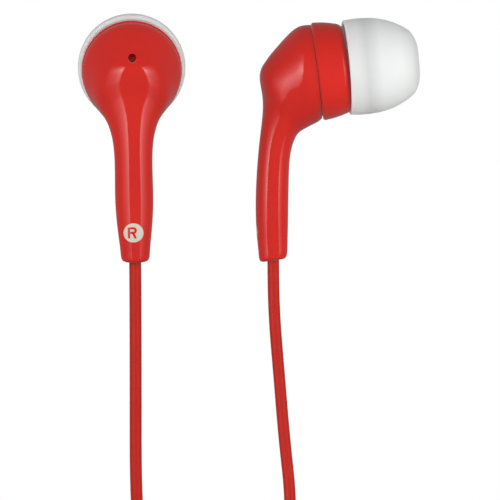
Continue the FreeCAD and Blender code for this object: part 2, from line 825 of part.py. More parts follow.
# A hank folds a cord up and down. Each run is drawn in at the waist, where the tie holds
# it, and each fold is a half turn. The folds spiral in through one layer, the cord climbs
# to the next layer along a run, and they spiral out again.
class Hank:
    def __init__(self, diameter, fold, run, waist, folds_in, folds_out, layers, middle, entry):
        self.diameter = float(diameter)
        self.fold = float(fold)
        self.half_run = float(run) / 2
        self.waist = float(waist)
        self.folds_in = folds_in
        self.folds = folds_in + folds_out
        self.layers = [float(layer) for layer in layers]
        self.across, self.height = (float(value) for value in middle)
        self.side, self.heading = entry
        slope = 2 * math.atan(self.waist / self.half_run)
        self.pitch = (self.diameter + float(mm.turn_gap)) / math.cos(slope)

    def offset(self, run):
        return self.fold + abs(self.folds_in - run) * self.pitch / 2

    def edge_of(self, run):
        return self.across + self.side * (-1) ** run * self.offset(run)

    def stations(self):
        stops = []
        for run in range(self.folds + 1):
            heading = self.heading * (-1) ** run
            inward = -math.copysign(self.waist, self.edge_of(run) - self.across)
            first, second = (self.layers[run > self.folds_in], self.layers[run >= self.folds_in])
            start = vec(self.edge_of(run), first, self.height - heading * self.half_run)
            middle = vec(self.edge_of(run) + inward, (first + second) / 2, self.height)
            stop = vec(self.edge_of(run), second, self.height + heading * self.half_run)
            straight = FreeCAD.Vector(0, 0, heading)
            climb = FreeCAD.Vector(0, (second - first) / self.half_run, heading).normalize()
            stops += [(start, straight), (middle, climb), (stop, straight)]
            if run < self.folds:
                across = self.edge_of(run + 1) - self.edge_of(run)
                apex = stop + FreeCAD.Vector(across / 2, 0, heading * abs(across) / 2)
                stops.append((apex, FreeCAD.Vector(math.copysign(1, across), 0, 0)))
        return stops

    def edges(self):
        stops = self.stations()
        lead_in = stops[0][0] - stops[0][1] * self.diameter
        lead_out = stops[-1][0] + stops[-1][1] * self.diameter
        edges = [Part.LineSegment(lead_in, stops[0][0]).toShape()]
        for (start, leaving), (stop, arriving) in zip(stops, stops[1:]):
            edges += biarc(start, leaving, stop, arriving)
        edges.append(Part.LineSegment(stops[-1][0], lead_out).toShape())
        return edges

    def ends(self):
        stops = self.stations()
        return (stops[0][0] - stops[0][1] * self.diameter,
                stops[-1][0] + stops[-1][1] * self.diameter)


def biarc(start, leaving, stop, arriving):
    span = stop - start
    both = leaving + arriving
    spread = 2 * (1 - leaving.dot(arriving))
    if spread < SMALL:
        reach = span.dot(span) / (4 * span.dot(arriving))
    else:
        along = span.dot(both)
        reach = (math.sqrt(along * along + spread * span.dot(span)) - along) / spread
    first, second = start + leaving * reach, stop - arriving * reach
    joint = (first + second) * 0.5
    return [edge_between(start, first, joint), edge_between(joint, second, stop)]


def least_gap(edges, diameter):
    spots = []
    for edge in edges:
        count = max(2, int(edge.Length))
        spots += edge.discretize(count)[:-1]
    travel = [0.0]
    for before, after in zip(spots, spots[1:]):
        travel.append(travel[-1] + (after - before).Length)
    gap = math.inf
    for index, spot in enumerate(spots):
        for other in range(index + 1, len(spots)):
            if travel[other] - travel[index] > 4 * diameter:
                gap = min(gap, (spots[other] - spot).Length)
    return gap - diameter


def hank_node(label, hank):
    edges = hank.edges()
    piece = keep(tube(label, edges, hank.diameter), label, place())
    print(f"{label}: least gap to itself {least_gap(edges, hank.diameter):.2f}")
    return piece


# Splitter, plug and tie
def splitter(name):
    radius, length = mm.splitter_radius, mm.splitter_length
    collar = mm.main_diameter / 2 + mm.collar_wall
    return turned_body(name, [
        (0, 0),
        (radius - 0.6, 0),
        (radius, -0.6, (radius - 0.18, -0.18)),
        (radius, -length * 0.4),
        (collar + 0.15, -length * 0.8, (radius - 0.22, -length * 0.6)),
        (collar + 0.15, -length + 1.4),
        (collar, -length + 1.2),
        (collar, -length),
        (0, -length),
    ])


def plug_grip(name):
    bore = mm.plug_radius + mm.plug_collar + mm.fit_gap
    radius, length = mm.grip_radius, mm.grip_length
    neck = mm.main_diameter / 2 + mm.collar_wall
    outline = [
        (0, -mm.plug_root - mm.fit_gap),
        (bore, -mm.plug_root - mm.fit_gap),
        (bore, 0),
        (radius - 0.5, 0),
        (radius, -0.5, (radius - 0.15, -0.15)),
        (radius, -length * 0.8),
        (mm.relief_radius, -length, (radius - 0.15, -length * 0.9)),
    ]
    step = mm.relief_length / RELIEF_RIBS
    for rib in range(RELIEF_RIBS):
        top = -length - rib * step
        wide = mm.relief_radius - 0.25 * rib / RELIEF_RIBS
        outline += [
            (neck, top - step * 0.25),
            (neck, top - step * 0.5),
            (wide, top - step * 0.6),
            (wide, top - step),
        ]
    outline.append((0, -length - mm.relief_length))
    return turned_body(name, outline)


def plug_heights():
    first_gap = mm.sleeve_length
    contact = first_gap + mm.insulator_length
    second_gap = contact + mm.contact_length
    tip = second_gap + mm.insulator_length
    return first_gap, contact, second_gap, tip


def plug_sleeve(name):
    bore = mm.plug_liner_radius + mm.fit_gap
    collar = mm.plug_radius + mm.plug_collar
    return turned_body(name, [
        (bore, -mm.plug_root),
        (collar, -mm.plug_root),
        (collar, mm.plug_collar_proud),
        (mm.plug_radius, mm.plug_collar_proud),
        (mm.plug_radius, mm.sleeve_length),
        (bore, mm.sleeve_length),
    ])


def plug_ring(name):
    first_gap, contact, second_gap, tip = plug_heights()
    return turned_body(name, tube_outline(mm.plug_liner_radius + mm.fit_gap, mm.plug_radius,
                                          contact, second_gap))


def plug_insulator(name):
    first_gap, contact, second_gap, tip = plug_heights()
    rod = mm.plug_rod_radius + mm.fit_gap
    return turned_body(name, [
        (rod, -mm.plug_root),
        (mm.plug_liner_radius, -mm.plug_root),
        (mm.plug_liner_radius, first_gap),
        (mm.plug_radius, first_gap),
        (mm.plug_radius, contact),
        (mm.plug_liner_radius, contact),
        (mm.plug_liner_radius, second_gap),
        (mm.plug_radius, second_gap),
        (mm.plug_radius, tip),
        (rod, tip),
    ])


def plug_tip(name):
    tip = plug_heights()[3]
    end = tip + mm.tip_contact_length
    head, neck = mm.plug_radius - 0.18, mm.plug_radius - 0.55
    point, crown = as_size(0.55), as_size(0.15)
    across, rise = cap_middle(point, crown)
    return turned_body(name, [
        (0, -mm.plug_root),
        (mm.plug_rod_radius, -mm.plug_root),
        (mm.plug_rod_radius, tip),
        (mm.plug_radius, tip),
        (mm.plug_radius, tip + 0.4),
        (neck, tip + 0.9),
        (neck, tip + 1.15),
        (head, tip + 1.65),
        (head, tip + 1.9),
        (point, end - crown),
        (0, end, (across, end - crown + rise)),
    ])


def cable_tie(name, width, depth):
    body = add("PartDesign::Body", name)
    for part, grow, kind in (("band", mm.tie_thickness, "PartDesign::Pad"),
                             ("room", 0, "PartDesign::Pocket")):
        outline = rounded_box(width / 2 + grow, depth / 2 + grow, mm.tie_corner + grow)
        sketch = sketch_on(body, f"{name}_{part}_outline", "XY_Plane", outline)
        step = body.newObject(kind, f"{name}_{part}")
        step.Profile = sketch
        step.Midplane = True
        bind(step, Length=mm.tie_height + (0 if kind.endswith("Pad") else 2))
    return body


def rounded_box(across, along, corner):
    slip = corner * (1 - math.sqrt(0.5))
    outline = []
    for side_x, side_y in ((1, 1), (-1, 1), (-1, -1), (1, -1)):
        outer_x, outer_y = across * side_x, along * side_y
        near_x, near_y = (across - corner) * side_x, (along - corner) * side_y
        through = ((across - slip) * side_x, (along - slip) * side_y)
        if side_x == side_y:
            outline += [(outer_x, near_y), (near_x, outer_y, through)]
        else:
            outline += [(near_x, outer_y), (outer_x, near_y, through)]
    return outline


# The two earpieces, each in its own place
held_point = nozzle_frame.multVec(vec(0, 0, mm.held_reach))
roll = FreeCAD.Rotation(FORWARD_AXIS, -float(mm.right_roll))
hang = FreeCAD.Rotation(UP_AXIS, float(mm.right_turn)).multiply(roll)
right_centre = hang.multVec(held_point) * -1
left_centre = right_centre + vec(mm.pair_across, mm.pair_behind, mm.pair_above)
EARPIECES = [
    ("right_", FreeCAD.Placement(right_centre, hang), mm.right_tip_radius),
    ("left_", FreeCAD.Placement(left_centre, FreeCAD.Rotation(UP_AXIS, -90)), mm.left_tip_radius),
]

shell, vent_hole, vent_seat = rear_shell_shapes()
housing, housing_cuts = front_housing_shapes()
cord_starts = {}
for side, ear, tip_radius in EARPIECES:
    ring_place, nozzle_place, foot_place = ear * ring_frame, ear * nozzle_frame, ear * foot_frame
    keep(cut(side + "rear_shell", shell, vent_hole), side + "rear_shell", ear)
    keep(cut(side + "front_housing", housing, housing_cuts), side + "front_housing", ear)
    keep(ear_tip(side, tip_radius), side + "ear_tip", nozzle_place)
    mesh_seat = mm.nozzle_length - mm.mesh_recess
    keep(nozzle_mesh(side), side + "nozzle_mesh", nozzle_place * place(z=mesh_seat))
    vent_mesh = turned_body(side + "vent_mesh",
                            disc_outline(mm.vent_mesh_radius, 0, mm.vent_mesh_thickness))
    keep(vent_mesh, side + "vent_mesh", ear * vent_seat * place(z=-mm.vent_mesh_thickness))
    for piece in (driver_frame, yoke, magnet, top_plate, voice_coil, diaphragm, clamp_ring):
        keep(piece(side), side + piece.__name__, ring_place)
    keep(damping_felt(side), side + "damping_felt", ring_place * place(angle=-90))
    frame_base = driver_heights()[2]
    board_back = frame_base - mm.board_thickness
    keep(terminal_board(side), side + "terminal_board",
         ring_place * place(-mm.board_width / 2, board_inner, board_back))
    pad_height = board_back - mm.solder_height
    pad_reach = board_inner + board_length / 2
    keep(solder_joints(side), side + "solder_joints", ring_place * place(0, pad_reach, pad_height))
    for piece in (cable_grommet, cord_root, cable_crimp):
        keep(piece(side), side + piece.__name__, foot_place)
    root_top = mm.stem_floor - mm.grommet_length + mm.cord_root_length
    wires = []
    for index, across in enumerate((-1, 1)):
        pad_across = across * mm.wire_spacing / 2
        route = [
            ring_frame.multVec(vec(pad_across, pad_reach, pad_height)),
            ring_frame.multVec(vec(pad_across, pad_reach, pad_height - 1.8)),
            vec(pad_across * 0.9, -mm.stem_setback + 1.15, -mm.shell_radius * 1.165),
            vec(pad_across * 0.7, -mm.stem_setback + 0.1, -mm.stem_length * 0.476),
            foot_frame.multVec(vec(pad_across * 0.6, 0, root_top)),
        ]
        edges = bent_edges(route)[0]
        wires.append(tube(f"{side}wire_{index}", edges, mm.wire_diameter))
    pair = add("Part::Compound", side + "lead_wires")
    pair.Links = wires
    keep(pair, side + "lead_wires", ear)
    cord_starts[side] = foot_place.multVec(vec(0, 0, mm.stem_floor - mm.grommet_length))

# The three hanks, one behind the other, with the main cord's between the two branches'
branch_step = mm.branch_diameter + mm.turn_gap
main_step = mm.main_diameter + mm.turn_gap
between = (mm.branch_diameter + mm.main_diameter) / 2 + mm.turn_gap
main_front = mm.hank_behind - main_step / 2
main_back = mm.hank_behind + main_step / 2
middle = (mm.hank_across, mm.hank_height)
DOWN, UP = -1, 1
LEFT, RIGHT = -1, 1
hanks = {
    "right_": Hank(mm.branch_diameter, mm.branch_fold, mm.branch_run, mm.branch_waist,
                   BRANCH_FOLDS_IN, BRANCH_FOLDS_OUT,
                   (main_front - between - branch_step, main_front - between),
                   middle, (LEFT, DOWN)),
    "left_": Hank(mm.branch_diameter, mm.branch_fold, mm.branch_run, mm.branch_waist,
                  BRANCH_FOLDS_IN, BRANCH_FOLDS_OUT,
                  (main_back + between + branch_step, main_back + between),
                  middle, (RIGHT, DOWN)),
    "main_": Hank(mm.main_diameter, mm.main_fold, mm.main_run, mm.main_waist,
                  MAIN_FOLDS_IN, MAIN_FOLDS_OUT, (main_front, main_back),
                  middle, (RIGHT, UP)),
}
for side, hank in hanks.items():
    hank_node(side + ("hank" if side == "main_" else "branch_hank"), hank)

# Free stretches, from above down. The points are chosen by hand.
right_in, right_out = hanks["right_"].ends()
left_in, left_out = hanks["left_"].ends()
main_in, main_out = hanks["main_"].ends()
splitter_top = vec(mm.splitter_across, mm.hank_behind, mm.splitter_height)
splitter_foot = splitter_top - vec(0, 0, mm.splitter_length)
plug_back = vec(main_out.x, main_out.y, mm.plug_height)
inlet = mm.splitter_inlet

ROUTES = {
    "right_branch_cord": (mm.branch_diameter, [
        cord_starts["right_"],
        (0.87, -13.0, -41.5),
        (0.87, -13.1, -57.5),
        (1.9, -11.6, -67.5),
        (right_in.x, right_in.y, -73.5),
        right_in,
    ]),
    "left_branch_cord": (mm.branch_diameter, [
        cord_starts["left_"],
        (18.98, 4.3, -33.0),
        (19.75, 4.3, -42.0),
        (20.35, 4.25, -49.5),
        (21.35, 4.0, -58.5),
        (20.8, 2.4, -67.5),
        (left_in.x, left_in.y, -73.5),
        left_in,
    ]),
    "right_branch_tail": (mm.branch_diameter, [
        right_out,
        (right_out.x + 0.1, right_out.y, -116.5),
        (3.7, -7.4, -124.5),
        (6.6, -5.6, -130.5),
        (splitter_top.x - inlet, splitter_top.y, -135.3),
        (splitter_top.x - inlet, splitter_top.y, splitter_top.z),
    ]),
    "left_branch_tail": (mm.branch_diameter, [
        left_out,
        (left_out.x - 0.1, left_out.y, -116.5),
        (17.2, -1.4, -124.3),
        (13.3, -3.1, -130.6),
        (splitter_top.x + inlet, splitter_top.y, -135.3),
        (splitter_top.x + inlet, splitter_top.y, splitter_top.z),
    ]),
    "main_cord": (mm.main_diameter, [
        splitter_foot,
        (splitter_foot.x, splitter_foot.y, -159.8),
        ((splitter_foot.x + main_in.x) / 2, splitter_foot.y - 0.5, -163.6),
        (main_in.x, splitter_foot.y - 0.8, -159.8),
        (main_in.x + 0.3, main_in.y - 0.2, -145.0),
        (main_in.x + 0.1, main_in.y, -127.5),
        main_in,
    ]),
    "main_tail": (mm.main_diameter, [
        main_out,
        (main_out.x - 0.3, main_out.y, -122.0),
        plug_back,
    ]),
}
for name, (diameter, route) in ROUTES.items():
    keep(cord(name, [tuple(spot) for spot in route], diameter), name, place())

keep(splitter("splitter"), "splitter", place(*splitter_top))
plug_face = plug_back - vec(0, 0, mm.grip_length + mm.relief_length)
plug_place = place(*plug_face, SIDE_AXIS, 180)
for piece in (plug_grip, plug_sleeve, plug_ring, plug_insulator, plug_tip):
    keep(piece(piece.__name__), piece.__name__, plug_place)

tie_width = 2 * (hanks["main_"].offset(MAIN_FOLDS_IN + MAIN_FOLDS_OUT) - mm.main_waist
                 + mm.main_diameter / 2 + mm.tie_room)
tie_depth = main_step + 2 * (between + branch_step) + mm.branch_diameter + 2 * mm.tie_room
tie_place = place(mm.hank_across, mm.hank_behind, mm.hank_height)
keep(cable_tie("cable_tie", tie_width, tie_depth), "cable_tie", tie_place)

doc.recompute()
faults = [item.Name for item in doc.Objects if {"Invalid", "Error"} & set(item.State)]
for piece in subparts:
    if piece.Shape.isNull() or not piece.Shape.isValid():
        faults.append(piece.Label)
if faults:
    raise RuntimeError("pieces that failed: " + ", ".join(faults))
os.makedirs("parts", exist_ok=True)
for piece in subparts:
    piece.Shape.exportStep(f"parts/{piece.Label}.step")
print(f"{len(subparts)} pieces")
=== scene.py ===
import math

import bmesh
import bpy
from mathutils import Matrix, Vector
from mathutils.bvhtree import BVHTree


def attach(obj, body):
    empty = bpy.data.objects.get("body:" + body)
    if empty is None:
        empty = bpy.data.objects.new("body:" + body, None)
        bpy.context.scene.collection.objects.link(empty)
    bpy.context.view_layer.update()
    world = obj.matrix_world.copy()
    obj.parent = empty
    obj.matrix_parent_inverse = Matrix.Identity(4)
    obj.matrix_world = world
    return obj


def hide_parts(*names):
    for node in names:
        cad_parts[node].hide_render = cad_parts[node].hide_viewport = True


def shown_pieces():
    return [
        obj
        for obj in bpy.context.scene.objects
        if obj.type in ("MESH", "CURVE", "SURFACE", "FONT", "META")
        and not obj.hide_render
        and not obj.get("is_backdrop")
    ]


# Wired in-ear earphones, in metres, +Z up: two red earpieces on thin red cords.
# The right one is seen from behind, the left one from its side, as they hang from their
# ear tips. The long cords are folded into hanks below, with the splitter and the plug.
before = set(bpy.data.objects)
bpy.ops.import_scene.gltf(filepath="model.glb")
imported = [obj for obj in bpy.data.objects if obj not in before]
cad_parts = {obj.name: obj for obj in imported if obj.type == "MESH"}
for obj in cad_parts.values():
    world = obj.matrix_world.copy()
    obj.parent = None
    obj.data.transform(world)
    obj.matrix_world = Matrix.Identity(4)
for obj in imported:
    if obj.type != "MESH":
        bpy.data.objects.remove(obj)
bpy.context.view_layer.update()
scene = bpy.context.scene
MM = 0.001


# The photographer's studio: a white sheet on the floor of a white room, and a long lens
# that looks straight ahead at the two earpieces from 0.6 m. The room is brightest in the
# picture, a shade darker on dull surfaces, most so from above, and dim in glossy ones.
FLOOR_HEIGHT = -169 * MM
FLOOR_REACH = 750 * MM
EYE = Vector((15.773, -595.7, -24.39)) * MM
QUARTER_TURN = math.pi / 2
LENS = 321.84
NEAREST_SEEN = 0.01
FARTHEST_SEEN = 20
ROOM_SEEN = 1.0
ROOM_FELT = 0.9
ROOM_MIRRORED = 0.26

floor_mesh = bpy.data.meshes.new("studio_floor")
floor_mesh.from_pydata([(x * FLOOR_REACH, y * FLOOR_REACH, FLOOR_HEIGHT)
                        for x, y in ((-1, -1), (1, -1), (1, 1), (-1, 1))], [], [(0, 1, 2, 3)])
studio_floor = bpy.data.objects.new("studio_floor", floor_mesh)
studio_floor.visible_glossy = False
studio_floor.visible_diffuse = False
scene.collection.objects.link(studio_floor)
studio_floor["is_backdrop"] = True

camera_data = bpy.data.cameras.new("camera")
camera_data.lens = LENS
camera_data.clip_start = NEAREST_SEEN
camera_data.clip_end = FARTHEST_SEEN
camera = bpy.data.objects.new("camera", camera_data)
camera.location = EYE
camera.rotation_euler = (QUARTER_TURN, 0, 0)
scene.collection.objects.link(camera)
scene.camera = camera
scene.view_settings.view_transform = "Standard"


class Socket:
    """A shader socket whose sums, products and powers are Math nodes."""

    def __init__(self, nodes, link):
        self.nodes = nodes
        self.link = link

    def math(self, operation, one, two):
        return self.nodes.node("Math", {"operation": operation}, {0: one, 1: two})

    def __add__(self, other):
        return self.math("ADD", self, other)

    __radd__ = __add__

    def __mul__(self, other):
        return self.math("MULTIPLY", self, other)

    __rmul__ = __mul__

    def __sub__(self, other):
        return self.math("SUBTRACT", self, other)

    def __rsub__(self, other):
        return self.math("SUBTRACT", other, self)

    def __pow__(self, other):
        return self.math("POWER", self, other)


class Nodes:
    """The nodes of a room, a lamp or a finish."""

    def __init__(self, owner):
        owner.use_nodes = True
        self.tree = owner.node_tree

    def plug(self, socket, value):
        if isinstance(value, Socket):
            self.tree.links.new(value.link, socket)
        elif socket.type == "RGBA":
            socket.default_value = (*value, 1)
        else:
            socket.default_value = value

    def node(self, kind, settings, sockets, out=0):
        node = self.tree.nodes.new("ShaderNode" + kind)
        for name, value in settings.items():
            if name == "stops":
                ramp = node.color_ramp.elements
                for index, (share, grey) in enumerate(value):
                    stop = ramp[index] if index < 2 else ramp.new(share)
                    stop.position = share
                    stop.color = (grey, grey, grey, 1)
            else:
                setattr(node, name, value)
        for name, value in sockets.items():
            self.plug(node.inputs[name], value)
        return Socket(self, node.outputs[out])


room = Nodes(bpy.data.worlds.new("room"))
scene.world = bpy.data.worlds["room"]
ray = {kind: room.node("LightPath", {}, {}, kind) for kind in ("Is Camera Ray", "Is Glossy Ray")}
heading = room.node("TexCoord", {}, {}, "Generated")
slope = room.node("SeparateXYZ", {}, {0: heading}, "Z")
felt = (1 - slope * slope) ** 2 * ROOM_FELT
unseen = ray["Is Glossy Ray"] * (ROOM_MIRRORED - felt) + felt
level = ray["Is Camera Ray"] * (ROOM_SEEN - unseen) + unseen
air = room.tree.nodes["Background"]
room.plug(air.inputs["Color"], (1, 1, 1))
room.plug(air.inputs["Strength"], level)


# The lamps, in metres: on each side of an earpiece stands a tall softbox, brightest along
# its edge nearer to the lens, and a wide fill hangs by the lens. The two earpieces were
# photographed one at a time, so each lamp lights one earpiece or piece alone.
BOX_RISE = 8
BOX_DISTANCE = 0.6
BOX_HEIGHT = 1.0
RIGHT_EARPIECE = Vector((0, -8, -12)) * MM
LEFT_EARPIECE = Vector((22, 4, -12)) * MM
LEFT_RING = Vector((36, 4, 0)) * MM
LEFT_TIP = Vector((34, 4, 0)) * MM
TABLE = Vector((0, 0, 0))
lit_by = {}


def softbox(name, aim, bearing, rise, distance, width, height, glow, near, across, upright):
    """A box on a bearing from the lens's line and a rise over the level, in degrees. Its ramps
    run from the edge that is near the lens outwards, and from its foot up."""
    data = bpy.data.lights.new(name, "AREA")
    data.shape = "RECTANGLE"
    data.size = width
    data.size_y = height
    data.energy = glow * math.pi * width * height
    lamp_nodes = Nodes(data)
    spot = lamp_nodes.node("NewGeometry", {}, {}, "Parametric")
    split = [lamp_nodes.node("SeparateXYZ", {}, {0: spot}, axis) for axis in ("X", "Y")]
    share = split[0] if near == "left" else 1 - split[0]
    faded = (lamp_nodes.node("ValToRGB", {"stops": across}, {0: share})
             * lamp_nodes.node("ValToRGB", {"stops": upright}, {0: split[1]}))
    glowing = next(node for node in lamp_nodes.tree.nodes if node.type == "EMISSION")
    lamp_nodes.plug(glowing.inputs["Strength"], faded)
    lamp = bpy.data.objects.new(name, data)
    turn, lift = math.radians(bearing), math.radians(rise)
    away = Vector((math.sin(turn) * math.cos(lift), -math.cos(turn) * math.cos(lift),
                   math.sin(lift)))
    lamp.location = aim + away * distance
    lamp.rotation_euler = away.to_track_quat("Z", "Y").to_euler()
    lamp.visible_camera = False
    scene.collection.objects.link(lamp)
    lit_by[name] = bpy.data.collections.new(f"lit_by_{name}")
    scene.collection.children.link(lit_by[name])
    lamp.light_linking.receiver_collection = lit_by[name]
    return lamp


# Ramps from foot to top, and from the near edge outwards, as (share, brightness).
HIGH = [(0.0, 0.15), (0.22, 0.1), (0.33, 0.3), (0.45, 0.36), (0.6, 0.6), (0.71, 1.0), (0.8, 0.6),
        (0.95, 0.0)]
LEVEL = [(0.0, 0.1), (0.25, 0.2), (0.38, 0.45), (0.48, 0.7), (0.56, 0.5), (0.68, 0.15),
         (0.9, 0.0)]
WIDE = [(0.0, 1.0), (0.12, 0.9), (0.28, 0.5), (0.5, 0.26), (0.75, 0.1), (1.0, 0.0)]
NARROW = [(0.0, 1.0), (0.22, 0.9), (0.4, 0.36), (0.6, 0.16), (1.0, 0.0)]
EVEN = [(0.0, 1.0), (1.0, 1.0)]
for name, aim, bearing, width, glow, near, across, upright in (
        ("right_earpiece_left_box", RIGHT_EARPIECE, -51, 0.62, 6.4, "right", WIDE, HIGH),
        ("right_earpiece_right_box", RIGHT_EARPIECE, 62, 0.55, 5.8, "left", WIDE, HIGH),
        ("left_earpiece_left_box", LEFT_EARPIECE, -62, 0.5, 6.6, "right", NARROW, LEVEL),
        ("left_earpiece_right_box", LEFT_EARPIECE, 68, 0.4, 4.6, "left", NARROW, LEVEL)):
    softbox(name, aim, bearing, BOX_RISE, BOX_DISTANCE, width, BOX_HEIGHT, glow, near, across,
            upright)
for name, aim, bearing, rise, distance, size, glow in (
        ("right_earpiece_fill", RIGHT_EARPIECE, 6, 12, 0.55, 0.8, 0.16),
        ("left_earpiece_fill", LEFT_EARPIECE, 6, -10, 0.5, 1.1, 0.62),
        ("left_ring_glow", LEFT_RING, 78, -20, 0.3, 0.3, 0.8),
        ("left_tip_upper", LEFT_TIP, 10, 75, 0.5, 0.6, 0.46),
        ("left_tip_lower", LEFT_TIP, 10, -75, 0.5, 0.6, 0.84),
        ("table_light", TABLE, 0, 90, 1.5, 3.0, 1.2)):
    fill = softbox(name, aim, bearing, rise, distance, size, size, glow, "left", EVEN, EVEN)
    fill.visible_glossy = False
bpy.data.lights["left_ring_glow"].use_shadow = False


# Rear shells: one glossy injection moulding each, a round head that runs into a hollow
# stem, in opaque red plastic. The front housing, of the same plastic, is pressed into the
# head's mouth, and its edge stands a little proud along the seam.
SHELL_RED = (0.7, 0.019, 0.012)
PLASTIC_IOR = 1.5
GLOSS = 0.07
DULL_SHADE = 0.86


class Finish(Nodes):
    """One material: constants on its Principled shader, and nodes for what varies."""

    def __init__(self, name, **constants):
        self.material = bpy.data.materials.new(name)
        super().__init__(self.material)
        for socket, value in constants.items():
            self.drive(socket.replace("_", " "), value)

    def drive(self, socket, value):
        self.plug(self.tree.nodes["Principled BSDF"].inputs[socket], value)

    def place(self):
        return self.node("TexCoord", {}, {}, "Object")

    def noise(self, scale, detail):
        return self.node("TexNoise", {}, {"Vector": self.place(), "Scale": scale,
                                          "Detail": detail})

    def mix(self, share, one, two):
        return self.node("Mix", {"data_type": "RGBA"}, {0: share, 6: one, 7: two}, 2)

    def bump(self, height, strength, distance):
        self.drive("Normal", self.node("Bump", {}, {"Height": height, "Strength": strength,
                                                    "Distance": distance}))

    def give(self, *pieces):
        for piece in pieces:
            piece.data.materials.clear()
            piece.data.materials.append(self.material)


def moulded_red(name, colour, roughness):
    """Red plastic from the mould, with a faint drift in its shade, its gloss and its level."""
    finish = Finish(name, IOR=PLASTIC_IOR)
    dull = tuple(value * DULL_SHADE for value in colour)
    finish.drive("Base Color", finish.mix(finish.noise(scale=180, detail=3), dull, colour))
    finish.drive("Roughness", finish.noise(scale=900, detail=4) * 0.04 + roughness)
    finish.bump(finish.noise(scale=260, detail=2), strength=0.05, distance=0.02 * MM)
    return finish


shell_plastic = moulded_red("gloss_red_plastic", SHELL_RED, GLOSS)
SIDES = ("right", "left")

# The earpieces hang from their ear tips. Each is built with X across, Y forward and Z up
# from the middle of its seam. The right one has its back to the lens, turned and rolled by
# about a degree, and the left one its side.
RIGHT_TURN = math.radians(1.5)
RIGHT_ROLL = math.radians(1.1)
SEAM_TILT = math.radians(7.5)
NOZZLE_TILT = math.radians(5.0)
RING_DEPTH = 4.45 * MM
HELD_REACH = 3.0 * MM
PAIR_STEP = Vector((24.388, 11.7, 0.37)) * MM

ring_axis = Vector((0, math.cos(SEAM_TILT), math.sin(SEAM_TILT)))
nozzle_axis = Vector((0, math.cos(NOZZLE_TILT), math.sin(NOZZLE_TILT)))
hang = Matrix.Rotation(RIGHT_TURN, 4, "Z") @ Matrix.Rotation(-RIGHT_ROLL, 4, "Y")
held_point = hang @ (ring_axis * RING_DEPTH + nozzle_axis * HELD_REACH)
ears = {"right": Matrix.Translation(-held_point) @ hang}
ears["left"] = (Matrix.Translation(PAIR_STEP - held_point)
                @ Matrix.Rotation(-QUARTER_TURN, 4, "Z"))

# Sections of the shell in mm, from the seam round the head and down the stem: how far
# forward and how high its back lies, the same for its front, and its half width.
SHELL_RADIUS = 6.35
SHELL_SECTIONS = [
    (-0.83, 6.3, 0.83, -6.3, 6.35),
    (-2.28, 6.1, 0.34, -6.7, 6.51),
    (-3.64, 5.05, -0.18, -6.96, 6.21),
    (-5.08, 3.47, -0.7, -7.22, 5.67),
    (-6.48, 1.79, -1.23, -7.51, 5.12),
    (-7.42, 0.2, -1.74, -7.79, 4.6),
    (-7.48, -1.5, -2.21, -8.12, 4.07),
    (-7.14, -3.4, -2.63, -8.66, 3.53),
    (-7.14, -5.63, -3.01, -9.51, 3.02),
    (-7.44, -8.28, -3.34, -10.73, 2.63),
    (-7.75, -11.28, -3.55, -12.49, 2.47),
    (-7.97, -14.44, -3.63, -14.8, 2.48),
    (-8.07, -17.56, -3.68, -17.48, 2.48),
    (-8.01, -20.47, -3.72, -20.26, 2.29),
    (-7.84, -22.8, -3.77, -22.6, 2.02),
]
SHELL_WALL = 0.95
SHELL_LIP = 0.8
MOUTH_DEPTH = 1.8
MOUTH_BREAK = 0.2
SEAM_STEP = 0.1
SEAM_SKEW = 0.05
EDGE_WIDTH = 0.12
EDGE_BREAK = 0.02
STEM_AXIS = -5.73
FOOT_BACK = -7.63
FOOT_FRONT = -3.83
FOOT_WIDTH = 1.88
FOOT_HEIGHT = {"right": -25.05, "left": -25.34}
FOOT_SLOPE = math.tan(math.radians(8))
FOOT_SWELL = 0.05
FOOT_RUN = 0.7
FOOT_ROUNDING = 0.6
ROUNDING_ANGLES = [math.radians(degrees) for degrees in (0, 35, 65, 90)]
FOOT_HOLE = 0.98
HOLE_RINGS = ((0.06, 0), (0, 0.02), (0, 0.2), (0, 2.6))  # wider than the hole, up from the foot
VENT = (0.09, -6.65, 1.4)
VENT_RADII = (0.53, 0.57)
VENT_BIT = 2.4
CAGE_TURNS = 28
SMOOTHING = 3
SHELL_EDGE = math.radians(38)
HOUSING_EDGE = math.radians(28)


def cage_ring(back, front, half_width, inset=0.0):
    """Points round an oval, let out a little, because the subdivision draws a ring in."""
    back, front = Vector((0, *back)), Vector((0, *front))
    middle, reach = (back + front) / 2, (back - front) / 2
    swell = 3 / (2 + math.cos(math.tau / CAGE_TURNS))
    along = reach.normalized() * (reach.length - inset) * swell
    across = Vector((1, 0, 0)) * (half_width - inset) * swell
    return [middle + along * math.cos(turn * math.tau / CAGE_TURNS)
            + across * math.sin(turn * math.tau / CAGE_TURNS) for turn in range(CAGE_TURNS)]


def seam_ring(radius, forward, skew=0.0):
    lean, lift = math.sin(SEAM_TILT), math.cos(SEAM_TILT)
    top, foot = forward + skew, forward - skew
    return cage_ring((-lean * radius + top * lift, lift * radius + top * lean),
                     (lean * radius + foot * lift, -lift * radius + foot * lean), radius)


def foot_ring(side, back, front, half_width, rise):
    level = FOOT_HEIGHT[side] + rise
    return cage_ring((back, level + (back - STEM_AXIS) * FOOT_SLOPE),
                     (front, level + (front - STEM_AXIS) * FOOT_SLOPE), half_width)


def foot_outside(side, inset, rise):
    return foot_ring(side, FOOT_BACK + inset, FOOT_FRONT - inset, FOOT_WIDTH - inset, rise)


def foot_hole(side, radius, rise):
    return foot_ring(side, STEM_AXIS - radius, STEM_AXIS + radius, radius, rise)


